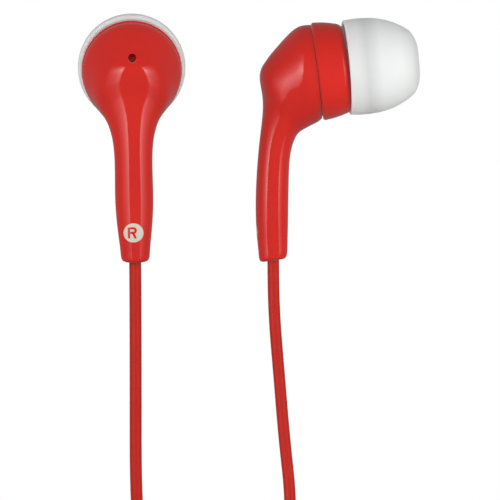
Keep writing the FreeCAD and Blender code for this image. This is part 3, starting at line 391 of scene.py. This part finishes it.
def shell_cage(side):
    """Rings from the lip of the mouth down the outside, round the foot and up the inside. The
    sections are let out first by what the subdivision draws in."""
    firm = [SHELL_SECTIONS[0]]
    for before, here, after in zip(SHELL_SECTIONS, SHELL_SECTIONS[1:], SHELL_SECTIONS[2:]):
        firm.append([(8 * now - one - two) / 6 for one, now, two in zip(before, here, after)])
    firm.append(SHELL_SECTIONS[-1])
    rings = [seam_ring(SHELL_RADIUS - SHELL_LIP, 0),
             seam_ring(SHELL_RADIUS - SHELL_LIP / 2, 0),
             seam_ring(SHELL_RADIUS - EDGE_WIDTH, SEAM_STEP, SEAM_SKEW),
             seam_ring(SHELL_RADIUS - EDGE_BREAK, SEAM_STEP, SEAM_SKEW),
             seam_ring(SHELL_RADIUS, 0, SEAM_SKEW)]
    rings += [cage_ring(row[:2], row[2:4], row[4]) for row in firm[1:]]
    rings.append(foot_outside(side, -FOOT_SWELL, FOOT_ROUNDING + FOOT_RUN))
    rings += [foot_outside(side, FOOT_ROUNDING * (1 - math.cos(angle)),
                           FOOT_ROUNDING * (1 - math.sin(angle))) for angle in ROUNDING_ANGLES]
    rings += [foot_hole(side, FOOT_HOLE + wider, rise) for wider, rise in HOLE_RINGS]
    rings += [cage_ring(row[:2], row[2:4], row[4], SHELL_WALL) for row in firm[-2:1:-1]]
    rings += [seam_ring(SHELL_RADIUS - SHELL_WALL, -MOUTH_DEPTH),
              seam_ring(SHELL_RADIUS - SHELL_LIP, -MOUTH_DEPTH),
              seam_ring(SHELL_RADIUS - SHELL_LIP, -MOUTH_BREAK)]
    return rings


def new_piece(name, points, faces, body):
    """A smooth mesh that rides on a body."""
    mesh = bpy.data.meshes.new(name)
    mesh.from_pydata(points, [], faces)
    mesh.shade_smooth()
    piece = bpy.data.objects.new(name, mesh)
    scene.collection.objects.link(piece)
    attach(piece, body)
    return piece


def ring_faces(rings, turns):
    """Faces between rings of points, with the last ring joined to the first."""
    return [(ring * turns + turn, ring * turns + (turn + 1) % turns,
             (ring + 1) % rings * turns + (turn + 1) % turns, (ring + 1) % rings * turns + turn)
            for ring in range(rings) for turn in range(turns)]


def vent_drill(side):
    """A rod of the vent's size, where the vent goes through the back of the head."""
    rod = bmesh.new()
    bmesh.ops.create_cone(rod, cap_ends=True, segments=48, radius1=1, radius2=1, depth=VENT_BIT)
    to_vent = (Matrix.Translation(Vector(VENT)) @ Matrix.Rotation(SEAM_TILT - QUARTER_TURN, 4, "X")
               @ Matrix.Diagonal((*VENT_RADII, 1, 1)))
    rod.transform(ears[side] @ Matrix.Scale(MM, 4) @ to_vent)
    mesh = bpy.data.meshes.new("vent_drill")
    rod.to_mesh(mesh)
    rod.free()
    drill = bpy.data.objects.new("vent_drill", mesh)
    scene.collection.objects.link(drill)
    return drill


def moulded_shell(side):
    rings = shell_cage(side)
    points = [ears[side] @ (point * MM) for ring in rings for point in ring]
    shell = new_piece(f"{side}_shell_moulding", points, ring_faces(len(rings), CAGE_TURNS),
                      "earphones")
    smooth = shell.modifiers.new("smooth", "SUBSURF")
    smooth.levels = SMOOTHING
    smooth.render_levels = SMOOTHING
    drill = vent_drill(side)
    vent = shell.modifiers.new("vent", "BOOLEAN")
    vent.object = drill
    vent.operation = "DIFFERENCE"
    vent.solver = "EXACT"
    bpy.context.view_layer.update()
    shaped = shell.evaluated_get(bpy.context.evaluated_depsgraph_get())
    moulding = bpy.data.meshes.new_from_object(shaped)
    shell.modifiers.clear()
    shell.data = moulding
    bpy.data.objects.remove(drill)
    moulding.shade_smooth()
    moulding.set_sharp_from_angle(angle=SHELL_EDGE)
    return shell


shells = {}
for side in SIDES:
    shells[side] = moulded_shell(side)
    shell_plastic.give(shells[side])
    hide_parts(f"{side}_rear_shell")
    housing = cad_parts[f"{side}_front_housing"]
    shell_plastic.give(housing)
    housing.data.shade_smooth()
    housing.data.set_sharp_from_angle(angle=HOUSING_EDGE)


# Side marks: a white disc printed low on the back of each stem, with the side's letter
# in the red of the shell. Both lie on the curve of the stem as thin films of ink.
MARK_WIDTH = 2.6 * MM
MARK_HEIGHT = 2.48 * MM
MARK_DROP = 21.33 * MM
MARK_ACROSS = {"right": -0.18 * MM, "left": -0.55 * MM}
DISC_RINGS = 10
DISC_TURNS = 48
LETTER_ASIDE = -0.15 * MM
LETTER_HEIGHT = 1.18 * MM
STROKE = 0.29 * MM
STROKE_STEPS = 8
BOWL_STEPS = 14
BOWL_REACH = 0.24
INK = 0.012 * MM
LETTER_INK = 2.5 * INK
WELL_BEHIND = -20 * MM


def stem_surface(side):
    """A way to put ink on a stem: it comes from behind, onto the surface."""
    mesh = shells[side].data
    tree = BVHTree.FromPolygons([vertex.co for vertex in mesh.vertices],
                                [tuple(face.vertices) for face in mesh.polygons])
    ear = ears[side]

    def printed(across, up, proud):
        start = ear @ Vector((across, WELL_BEHIND, up))
        forward = (ear.to_3x3() @ Vector((0, 1, 0))).normalized()
        return tree.ray_cast(start, forward)[0] - forward * proud

    return printed


def disc_mark(side, printed, middle):
    points = [printed(*middle, INK)]
    for ring in range(1, DISC_RINGS + 1):
        share = ring / DISC_RINGS / 2
        for turn in range(DISC_TURNS):
            angle = turn * math.tau / DISC_TURNS
            points.append(printed(middle[0] + math.cos(angle) * MARK_WIDTH * share,
                                  middle[1] + math.sin(angle) * MARK_HEIGHT * share, INK))
    faces = [(0, 1 + turn, 1 + (turn + 1) % DISC_TURNS) for turn in range(DISC_TURNS)]
    for ring in range(DISC_RINGS - 1):
        inner = 1 + ring * DISC_TURNS
        outer = inner + DISC_TURNS
        for turn in range(DISC_TURNS):
            after = (turn + 1) % DISC_TURNS
            faces.append((inner + turn, outer + turn, outer + after, inner + after))
    return new_piece(f"{side}_mark_disc", points, faces, "earphones")


def letter_mark(side, printed, middle, strokes):
    """Ribbons along a letter's strokes, whose points are shares of its height."""
    points, faces = [], []
    for stroke in strokes:
        for index, (across, up) in enumerate(stroke):
            before = stroke[max(index - 1, 0)]
            after = stroke[min(index + 1, len(stroke) - 1)]
            heading = Vector((after[0] - before[0], after[1] - before[1])).normalized()
            for hand in (-1, 1):
                x = middle[0] + LETTER_ASIDE + across * LETTER_HEIGHT - heading.y * STROKE / 2 * hand
                y = middle[1] + up * LETTER_HEIGHT + heading.x * STROKE / 2 * hand
                points.append(printed(x, y, LETTER_INK))
            if index:
                last = len(points) - 4
                faces.append((last, last + 1, last + 3, last + 2))
    return new_piece(f"{side}_mark_letter", points, faces, "earphones")


def straight(start, stop):
    return [(start[0] + (stop[0] - start[0]) * step / STROKE_STEPS,
             start[1] + (stop[1] - start[1]) * step / STROKE_STEPS)
            for step in range(STROKE_STEPS + 1)]


bowl = [(0.14 + BOWL_REACH * math.sin(turn * math.pi / BOWL_STEPS),
         0.26 + BOWL_REACH * math.cos(turn * math.pi / BOWL_STEPS))
        for turn in range(BOWL_STEPS + 1)]
LETTERS = {
    "right": [straight((-0.37, -0.6), (-0.37, 0.6)), straight((-0.37, 0.5), (0.14, 0.5)), bowl,
              straight((0.14, 0.02), (-0.37, 0.02)), straight((0.04, 0.02), (0.38, -0.6))],
    "left": [straight((-0.3, 0.6), (-0.3, -0.6)), straight((-0.3, -0.5), (0.4, -0.5))],
}
mark_white = Finish("printed_white")
speck = mark_white.noise(scale=2600, detail=2)
mark_white.drive("Base Color", mark_white.mix(speck, (0.62, 0.57, 0.46), (0.74, 0.7, 0.62)))
mark_white.drive("Roughness", speck * 0.06 + 0.12)
for side in SIDES:
    printed = stem_surface(side)
    middle = (MARK_ACROSS[side], -MARK_DROP)
    disc = disc_mark(side, printed, middle)
    mark_white.give(disc)
    letter = letter_mark(side, printed, middle, LETTERS[side])
    shell_plastic.give(letter)


# Ear tips: soft milky silicone, one moulding each. A sleeve grips the nozzle's barb and
# turns over at the front into a thin domed skirt. The left one is a size smaller, and its
# rim lies a little unevenly against the ring.
TIP_RADIUS = {"right": 7.15, "left": 6.46}
TIP_REACH = 9.42
BELLY, SHOULDER, DOME = (TIP_REACH * share for share in (0.287, 0.621, 0.775))
SKIRT = {"right": 0.95, "left": 0.56}
SLEEVE = 3.65
SLEEVE_START = 0.3
SLEEVE_BORE = 2.55
BARB_START = 3.15
BARB_EDGE = 3.6
BARB_HEIGHT = 0.45
NOZZLE_END = 5.25
TIP_OPENING = 1.9
OPENING_ROUND = 0.12
ARC_STEPS = 10
TIP_TURNS = 128
TIP_EDGE = math.radians(40)
OUTSIDE_SLEEVE = SLEEVE + 1
RIM_LEAN = {"right": 0.0, "left": 0.34}
# Painted shade along the tip, from the rim (0) to the front (1). A dark band over the barb and the
# sleeve stands in for their shade seen through the skirt, with lighter painted shade at the rim and
# the front.
PAINTED_SHADE_ALONG_TIP = [(0.0, 0.35), (0.14, 0.45), (0.26, 1.0), (0.36, 0.6), (0.46, 0.1), (0.75, 0.0),
                (1.0, 0.5)]

nozzle_turn = (Matrix.Translation(ring_axis * RING_DEPTH)
               @ Matrix.Rotation(NOZZLE_TILT - QUARTER_TURN, 4, "X"))


def arc_through(start, through, stop):
    """Points after the start, up to the stop, on the circle through the three."""
    ax, ay = start
    bx, by = through
    cx, cy = stop
    twice = 2 * (ax * (by - cy) + bx * (cy - ay) + cx * (ay - by))
    squares = ax * ax + ay * ay, bx * bx + by * by, cx * cx + cy * cy
    mx = (squares[0] * (by - cy) + squares[1] * (cy - ay) + squares[2] * (ay - by)) / twice
    my = (squares[0] * (cx - bx) + squares[1] * (ax - cx) + squares[2] * (bx - ax)) / twice
    radius = math.hypot(ax - mx, ay - my)
    first, mid, last = (math.atan2(y - my, x - mx) for x, y in (start, through, stop))
    sweep = (last - first) % math.tau
    if (mid - first) % math.tau > sweep:
        sweep -= math.tau
    return [(mx + radius * math.cos(first + sweep * step / ARC_STEPS),
             my + radius * math.sin(first + sweep * step / ARC_STEPS))
            for step in range(1, ARC_STEPS + 1)]


def outline_points(corners):
    """Corners are (radius, height), with a third value where an arc through it leads there."""
    points = [corners[0][:2]]
    for corner in corners[1:]:
        if len(corner) == 3:
            points += arc_through(points[-1], corner[2], corner[:2])
        else:
            points.append(corner)
    return points


def turned(name, corners, place, body):
    """A closed outline in mm turned about the Z axis of a place."""
    outline = outline_points(corners)
    points, faces = [], []
    for turn in range(TIP_TURNS):
        angle = turn * math.tau / TIP_TURNS
        for radius, height in outline:
            spot = Vector((radius * math.cos(angle), radius * math.sin(angle), height)) * MM
            points.append(place @ spot)
    count = len(outline)
    for turn in range(TIP_TURNS):
        here = turn * count
        after = (turn + 1) % TIP_TURNS * count
        for step in range(count):
            ahead = (step + 1) % count
            faces.append((here + step, after + step, after + ahead, here + ahead))
    piece = new_piece(name, points, faces, body)
    grid = bmesh.new()
    grid.from_mesh(piece.data)
    bmesh.ops.recalc_face_normals(grid, faces=grid.faces)
    grid.to_mesh(piece.data)
    grid.free()
    piece.data.shade_smooth()
    piece.data.set_sharp_from_angle(angle=TIP_EDGE)
    return piece


def lean_rim(tip, side):
    """The skirt's rim is pushed forward on one side and back on the other."""
    to_nozzle = (ears[side] @ nozzle_turn).inverted()
    forward = ears[side].to_3x3() @ nozzle_axis
    for vertex in tip.data.vertices:
        spot = to_nozzle @ vertex.co / MM
        if spot.xy.length > OUTSIDE_SLEEVE and spot.z < BELLY:
            fade = 1 - max(spot.z, 0) / BELLY
            vertex.co += forward * RIM_LEAN[side] * MM * spot.x / TIP_RADIUS[side] * fade


def milky(side):
    """Silicone with painted shade along its axis. It is darkest in a band over the barb and the
    sleeve, standing in for their shade seen through the skirt, and a little darker at the rim and
    the front.
    """
    finish = Finish(f"{side}_milky_silicone", IOR=1.41, Subsurface_Weight=1.0,
                    Subsurface_Scale=1.0 * MM, Subsurface_Radius=(1.0, 0.97, 0.92), Sheen_Weight=0.1)
    place = ears[side] @ nozzle_turn
    forward = place.to_3x3() @ Vector((0, 0, 1))
    along = finish.node("VectorMath", {"operation": "DOT_PRODUCT"},
                        {0: finish.place(), 1: forward}, "Value")
    reach = (along - forward.dot(place.translation)) * (1 / (TIP_REACH * MM))
    # Painted shade: this ramp darkens the milky colour along the tip's axis.
    painted_shade = finish.node("ValToRGB", {"stops": PAINTED_SHADE_ALONG_TIP}, {0: reach})
    milk = finish.mix(finish.noise(scale=420, detail=3), (0.79, 0.803, 0.793), (0.82, 0.83, 0.82))
    finish.drive("Base Color", finish.mix(painted_shade, milk, (0.63, 0.645, 0.64)))
    finish.drive("Roughness", finish.noise(scale=3000, detail=3) * 0.12 + 0.36)
    finish.bump(finish.noise(scale=5200, detail=4), strength=0.12, distance=0.01 * MM)
    return finish


for side in SIDES:
    radius = TIP_RADIUS[side]
    inside = radius - SKIRT[side]
    tip = turned(f"{side}_silicone_tip", [
        (SLEEVE_BORE, SLEEVE_START),
        (SLEEVE_BORE, BARB_START),
        (SLEEVE_BORE + BARB_HEIGHT, BARB_START),
        (SLEEVE_BORE + BARB_HEIGHT, BARB_EDGE),
        (SLEEVE_BORE, NOZZLE_END),
        (TIP_OPENING, NOZZLE_END),
        (TIP_OPENING, TIP_REACH - OPENING_ROUND),
        (TIP_OPENING + OPENING_ROUND, TIP_REACH, (TIP_OPENING + 0.035, TIP_REACH - 0.035)),
        (radius - 2.2, TIP_REACH - 0.92, (radius - 3.26, TIP_REACH - 0.3)),
        (radius - 0.04, BELLY, (radius - 0.68, SHOULDER)),
        (radius - 0.1, 0, (radius, BELLY * 0.48)),
        (inside, 0, ((radius + inside) / 2 - 0.05, -0.33)),
        (inside, BELLY, (inside + 0.06, BELLY * 0.52)),
        (inside - 1.94, DOME, (inside - 0.69, SHOULDER - 0.35)),
        (SLEEVE, DOME - 0.7),
        (SLEEVE, SLEEVE_START + 0.15),
        (SLEEVE - 0.15, SLEEVE_START, (SLEEVE - 0.04, SLEEVE_START + 0.04)),
    ], ears[side] @ nozzle_turn, f"{side}_tip")
    lean_rim(tip, side)
    milky(side).give(tip)
    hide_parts(f"{side}_ear_tip")


# Sound outlet and vent: a punched steel disc is pressed into the mouth of the nozzle, and
# a scrap of fine dark red cloth is glued behind the vent hole at the back of the head.
punched_steel = Finish("punched_steel", Metallic=1.0)
grain = punched_steel.noise(scale=1800, detail=3)
punched_steel.drive("Base Color", punched_steel.mix(grain, (0.4, 0.4, 0.41), (0.62, 0.62, 0.63)))
punched_steel.drive("Roughness", grain * 0.2 + 0.28)
vent_cloth = Finish("vent_cloth", Specular_IOR_Level=0.2)
thread = vent_cloth.node("TexWave", {"wave_type": "BANDS"},
                         {"Vector": vent_cloth.place(), "Scale": 2400.0, "Distortion": 2.0})
vent_cloth.drive("Base Color", vent_cloth.mix(thread, (0.2, 0.008, 0.007), (0.34, 0.014, 0.01)))
vent_cloth.drive("Roughness", thread * 0.1 + 0.8)
for side in SIDES:
    punched_steel.give(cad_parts[f"{side}_nozzle_mesh"])
    vent_cloth.give(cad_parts[f"{side}_vent_mesh"])


# Driver: a dark moulded basket holds a steel cup with the magnet and its pole plate. The
# copper coil hangs from a thin film, clamped at its edge. Felt damps the vents, and two
# enamelled wires come up the stem to a little green board, past the cord's brass crimp.
MACHINED_EDGE = math.radians(30)


def plain(name, low, high, roughness, scale, **constants):
    """A finish between two shades, whose lighter specks are a little rougher."""
    finish = Finish(name, **constants)
    spots = finish.noise(scale, detail=3)
    finish.drive("Base Color", finish.mix(spots, low, high))
    finish.drive("Roughness", spots * 0.15 + roughness)
    return finish


driver_finishes = {
    "driver_frame": plain("black_basket", (0.02, 0.02, 0.022), (0.045, 0.045, 0.05), 0.42, 1400),
    "clamp_ring": plain("black_clamp", (0.025, 0.025, 0.027), (0.05, 0.05, 0.054), 0.4, 1400),
    "yoke": plain("zinc_steel", (0.42, 0.43, 0.44), (0.6, 0.6, 0.61), 0.3, 1100, Metallic=1.0),
    "top_plate": plain("pole_steel", (0.4, 0.4, 0.41), (0.56, 0.56, 0.57), 0.32, 1100, Metallic=1.0),
    "magnet": plain("nickel_magnet", (0.6, 0.59, 0.56), (0.74, 0.73, 0.7), 0.16, 900, Metallic=1.0),
    "voice_coil": plain("coil_copper", (0.55, 0.2, 0.09), (0.78, 0.36, 0.18), 0.3, 4200,
                        Metallic=1.0),
    "lead_wires": plain("wire_copper", (0.5, 0.18, 0.07), (0.74, 0.32, 0.15), 0.3, 2600,
                        Metallic=1.0),
    "diaphragm": plain("clear_film", (0.62, 0.6, 0.52), (0.74, 0.72, 0.64), 0.2, 1600),
    "terminal_board": plain("green_board", (0.01, 0.11, 0.035), (0.02, 0.19, 0.06), 0.35, 1500),
    "solder_joints": plain("solder", (0.5, 0.5, 0.51), (0.72, 0.72, 0.73), 0.25, 2200, Metallic=1.0),
    "damping_felt": plain("black_felt", (0.012, 0.012, 0.013), (0.06, 0.06, 0.065), 0.85, 5200),
    "cable_crimp": plain("crimp_brass", (0.55, 0.36, 0.12), (0.72, 0.52, 0.22), 0.3, 1200,
                         Metallic=1.0),
}
for part, finish in driver_finishes.items():
    for side in SIDES:
        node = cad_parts[f"{side}_{part}"]
        finish.give(node)
        node.data.shade_smooth()
        node.data.set_sharp_from_angle(angle=MACHINED_EDGE)


# Cords: stranded copper in a satin red sheath, 1.5 mm to each ear and 1.8 mm from the
# splitter to the plug. Each leaves its earpiece through a collar in the stem's mouth,
# hangs down and is folded into a hank, which the tie holds. All sizes are in mm.
BRANCH = 1.5
MAIN = 1.8
TURN_GAP = 0.45
BRANCH_FOLD = 4.5
BRANCH_RUN = 28
BRANCH_WAIST = 3
MAIN_FOLD = 5.4
MAIN_RUN = 36
MAIN_WAIST = 4
HANK_ACROSS = 10.6
HANK_BEHIND = -4.45
HANK_HEIGHT = -92.6
STEM_MOUTH = -24.8
ROOT_RISE = 8.0
SPLITTER_ACROSS = 9.2
SPLITTER_TOP = -139.0
SPLITTER_FOOT = -152.0
SPLITTER_EXIT = (SPLITTER_ACROSS, HANK_BEHIND, SPLITTER_FOOT)
INLET = 0.98
PLUG_BACK = -130.0
LEFT, RIGHT = -1, 1
DOWN, UP = -1, 1
RUN_STEPS = 14
FOLD_STEPS = 9
SHEATH_SIDES = 6
SHEATH_STEPS = 6
SHEATH_SWELL = 1.05


def hank_points(diameter, fold, run, waist, folds_in, folds_out, layers, side, heading):
    """The cord's points from run to run: each run is drawn in at the waist, where the tie
    holds it, and each fold is a half turn. It spirals in, changes layer and spirals out."""
    slope = 2 * math.atan(waist / (run / 2))
    pitch = (diameter + TURN_GAP) / math.cos(slope)
    folds = folds_in + folds_out

    def edge(number):
        offset = fold + abs(folds_in - number) * pitch / 2
        return HANK_ACROSS + side * (-1) ** number * offset

    points = []
    for number in range(folds + 1):
        way = heading * (-1) ** number
        inward = -math.copysign(waist, edge(number) - HANK_ACROSS)
        first, second = layers[number > folds_in], layers[number >= folds_in]
        for step in range(RUN_STEPS + 1):
            share = step / RUN_STEPS
            pinch = (1 - math.cos(math.tau * share)) / 2
            points.append((edge(number) + inward * pinch, first + (second - first) * share,
                           HANK_HEIGHT + way * run * (share - 0.5)))
        if number < folds:
            middle = (edge(number) + edge(number + 1)) / 2
            reach = (edge(number) - edge(number + 1)) / 2
            end = HANK_HEIGHT + way * run / 2
            for step in range(1, FOLD_STEPS):
                angle = math.pi * step / FOLD_STEPS
                points.append((middle + reach * math.cos(angle), second,
                               end + way * abs(reach) * math.sin(angle)))
    return points


# Three hanks lie one behind the other, each in two layers: the right branch's nearest to
# the lens, then the main cord's, then the left branch's.
between = (BRANCH + MAIN) / 2 + TURN_GAP
main_front = HANK_BEHIND - (MAIN + TURN_GAP) / 2
main_back = HANK_BEHIND + (MAIN + TURN_GAP) / 2
right_front = main_front - between
left_back = main_back + between
layer_step = BRANCH + TURN_GAP
hanks = {
    "right": hank_points(BRANCH, BRANCH_FOLD, BRANCH_RUN, BRANCH_WAIST, 3, 3,
                         (right_front - layer_step, right_front), LEFT, DOWN),
    "left": hank_points(BRANCH, BRANCH_FOLD, BRANCH_RUN, BRANCH_WAIST, 3, 3,
                        (left_back + layer_step, left_back), RIGHT, DOWN),
    "main": hank_points(MAIN, MAIN_FOLD, MAIN_RUN, MAIN_WAIST, 5, 6,
                        (main_front, main_back), RIGHT, UP),
}


def beyond(spot, rise):
    return (spot[0], spot[1], spot[2] + rise)


def in_stem(side, height):
    return ears[side] @ (Vector((0, STEM_AXIS, height)) * MM) / MM


right_start = beyond(hanks["right"][0], BRANCH)
right_end = beyond(hanks["right"][-1], -BRANCH)
left_start = beyond(hanks["left"][0], BRANCH)
left_end = beyond(hanks["left"][-1], -BRANCH)
main_start = beyond(hanks["main"][0], -MAIN)
main_end = beyond(hanks["main"][-1], -MAIN)
exits = {side: in_stem(side, STEM_MOUTH) for side in SIDES}
roots = {side: in_stem(side, STEM_MOUTH + ROOT_RISE) for side in SIDES}
routes = {
    "right_branch": [
        roots["right"], exits["right"],
        (0.87, -13.0, -41.5), (0.87, -13.1, -57.5), (1.9, -11.6, -67.5),
        (right_start[0], right_start[1], -73.5), right_start, *hanks["right"], right_end,
        (right_end[0] + 0.1, right_end[1], -116.5), (3.7, -7.4, -124.5), (6.6, -5.6, -130.5),
        (SPLITTER_ACROSS - INLET, HANK_BEHIND, -135.3),
        (SPLITTER_ACROSS - INLET, HANK_BEHIND, SPLITTER_TOP),
    ],
    "left_branch": [
        roots["left"], exits["left"], (18.98, 4.3, -33.0), (19.75, 4.3, -42.0),
        (20.35, 4.25, -49.5), (21.35, 4.0, -58.5), (20.8, 2.4, -67.5),
        (left_start[0], left_start[1], -73.5), left_start, *hanks["left"], left_end,
        (left_end[0] - 0.1, left_end[1], -116.5), (17.2, -1.4, -124.3), (13.3, -3.1, -130.6),
        (SPLITTER_ACROSS + INLET, HANK_BEHIND, -135.3),
        (SPLITTER_ACROSS + INLET, HANK_BEHIND, SPLITTER_TOP),
    ],
    "main": [
        SPLITTER_EXIT, (SPLITTER_ACROSS, HANK_BEHIND, -159.8),
        ((SPLITTER_ACROSS + main_start[0]) / 2, HANK_BEHIND - 0.5, -163.6),
        (main_start[0], HANK_BEHIND - 0.8, -159.8),
        (main_start[0] + 0.3, main_start[1] - 0.2, -145.0),
        (main_start[0] + 0.1, main_start[1], -127.5), main_start, *hanks["main"], main_end,
        (main_end[0] - 0.3, main_end[1], -122.0), (main_end[0], main_end[1], PLUG_BACK),
    ],
}

sheath = Finish("red_sheath", Specular_IOR_Level=0.25)
mottle = sheath.noise(scale=300, detail=3)
sheath.drive("Base Color", sheath.mix(mottle, (0.47, 0.009, 0.002), (0.58, 0.013, 0.003)))
sheath.drive("Roughness", sheath.noise(scale=1600, detail=3) * 0.12 + 0.28)
sheath.bump(sheath.noise(scale=1500, detail=3), strength=0.1, distance=0.02 * MM)


def cord(name, diameter):
    """A sheath along a route. Its points' radii give its width, let out a little, because its
    facets and its dark edges make it look thinner than it is."""
    curve = bpy.data.curves.new(name, "CURVE")
    curve.dimensions = "3D"
    curve.bevel_depth = 1
    curve.bevel_resolution = SHEATH_SIDES
    curve.resolution_u = SHEATH_STEPS
    curve.use_fill_caps = True
    line = curve.splines.new("NURBS")
    route = routes[name]
    line.points.add(len(route) - 1)
    for point, spot in zip(line.points, route):
        point.co = (*(Vector(spot) * MM), 1)
        point.radius = diameter / 2 * SHEATH_SWELL * MM
    line.order_u = 3
    line.use_endpoint_u = True
    line.use_smooth = True
    piece = bpy.data.objects.new(name + "_sheath", curve)
    scene.collection.objects.link(piece)
    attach(piece, "earphones")
    sheath.give(piece)
    return piece


cords = {name: cord(name, MAIN if name == "main" else BRANCH) for name in routes}
for side in SIDES:
    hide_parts(f"{side}_cord_root", f"{side}_branch_cord",
                f"{side}_branch_hank", f"{side}_branch_tail")
    sheath.give(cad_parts[f"{side}_cable_grommet"])
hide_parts("main_cord", "main_hank", "main_tail")
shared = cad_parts
plug_pieces = [shared[name] for name in ("plug_grip", "plug_sleeve", "plug_ring", "plug_tip",
                                         "plug_insulator")]
tuple(exits["right"] * MM)
tuple(exits["left"] * MM)


# Splitter and plug: the branches meet in a barrel of the sheath's own red, moulded over
# the joint. The plug has a ribbed grip of the same, a nickel plated shaft in three
# contacts, and black rings between them.
moulding = moulded_red("red_moulding", (0.46, 0.02, 0.012), 0.34)
nickel = plain("nickel_plating", (0.66, 0.65, 0.62), (0.8, 0.79, 0.76), 0.1, 1500, Metallic=1.0)
ring_black = plain("contact_rings", (0.012, 0.012, 0.012), (0.03, 0.03, 0.03), 0.35, 1500)
moulding.give(shared["splitter"], shared["plug_grip"])
nickel.give(shared["plug_sleeve"], shared["plug_ring"], shared["plug_tip"])
ring_black.give(shared["plug_insulator"])
for piece in (shared["splitter"], *plug_pieces):
    piece.data.shade_smooth()
    piece.data.set_sharp_from_angle(angle=MACHINED_EDGE)


# Tie: a flat ribbon of black plastic, with a steel wire moulded in along its middle. It is
# bent once round the three hanks where their runs are drawn in.
tie_plastic = plain("tie_black", (0.012, 0.012, 0.013), (0.035, 0.035, 0.037), 0.32, 1300)
tie_plastic.give(shared["cable_tie"])


# The lamps again: each piece stands in the light of its own earpiece's lamps, and what
# both share in the right one's. The earpieces don't mirror each other, because each was
# photographed alone.
lit_by["table_light"].objects.link(studio_floor)
lit_by["left_ring_glow"].objects.link(shared["left_front_housing"])
lit_by["left_tip_upper"].objects.link(bpy.data.objects["left_silicone_tip"])
lit_by["left_tip_lower"].objects.link(bpy.data.objects["left_silicone_tip"])
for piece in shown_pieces():
    side = "left" if piece.name.startswith("left") else "right"
    for lamp in ("left_box", "right_box", "fill"):
        lit_by[f"{side}_earpiece_{lamp}"].objects.link(piece)
    if piece.name.startswith(SIDES):
        piece.visible_glossy = False
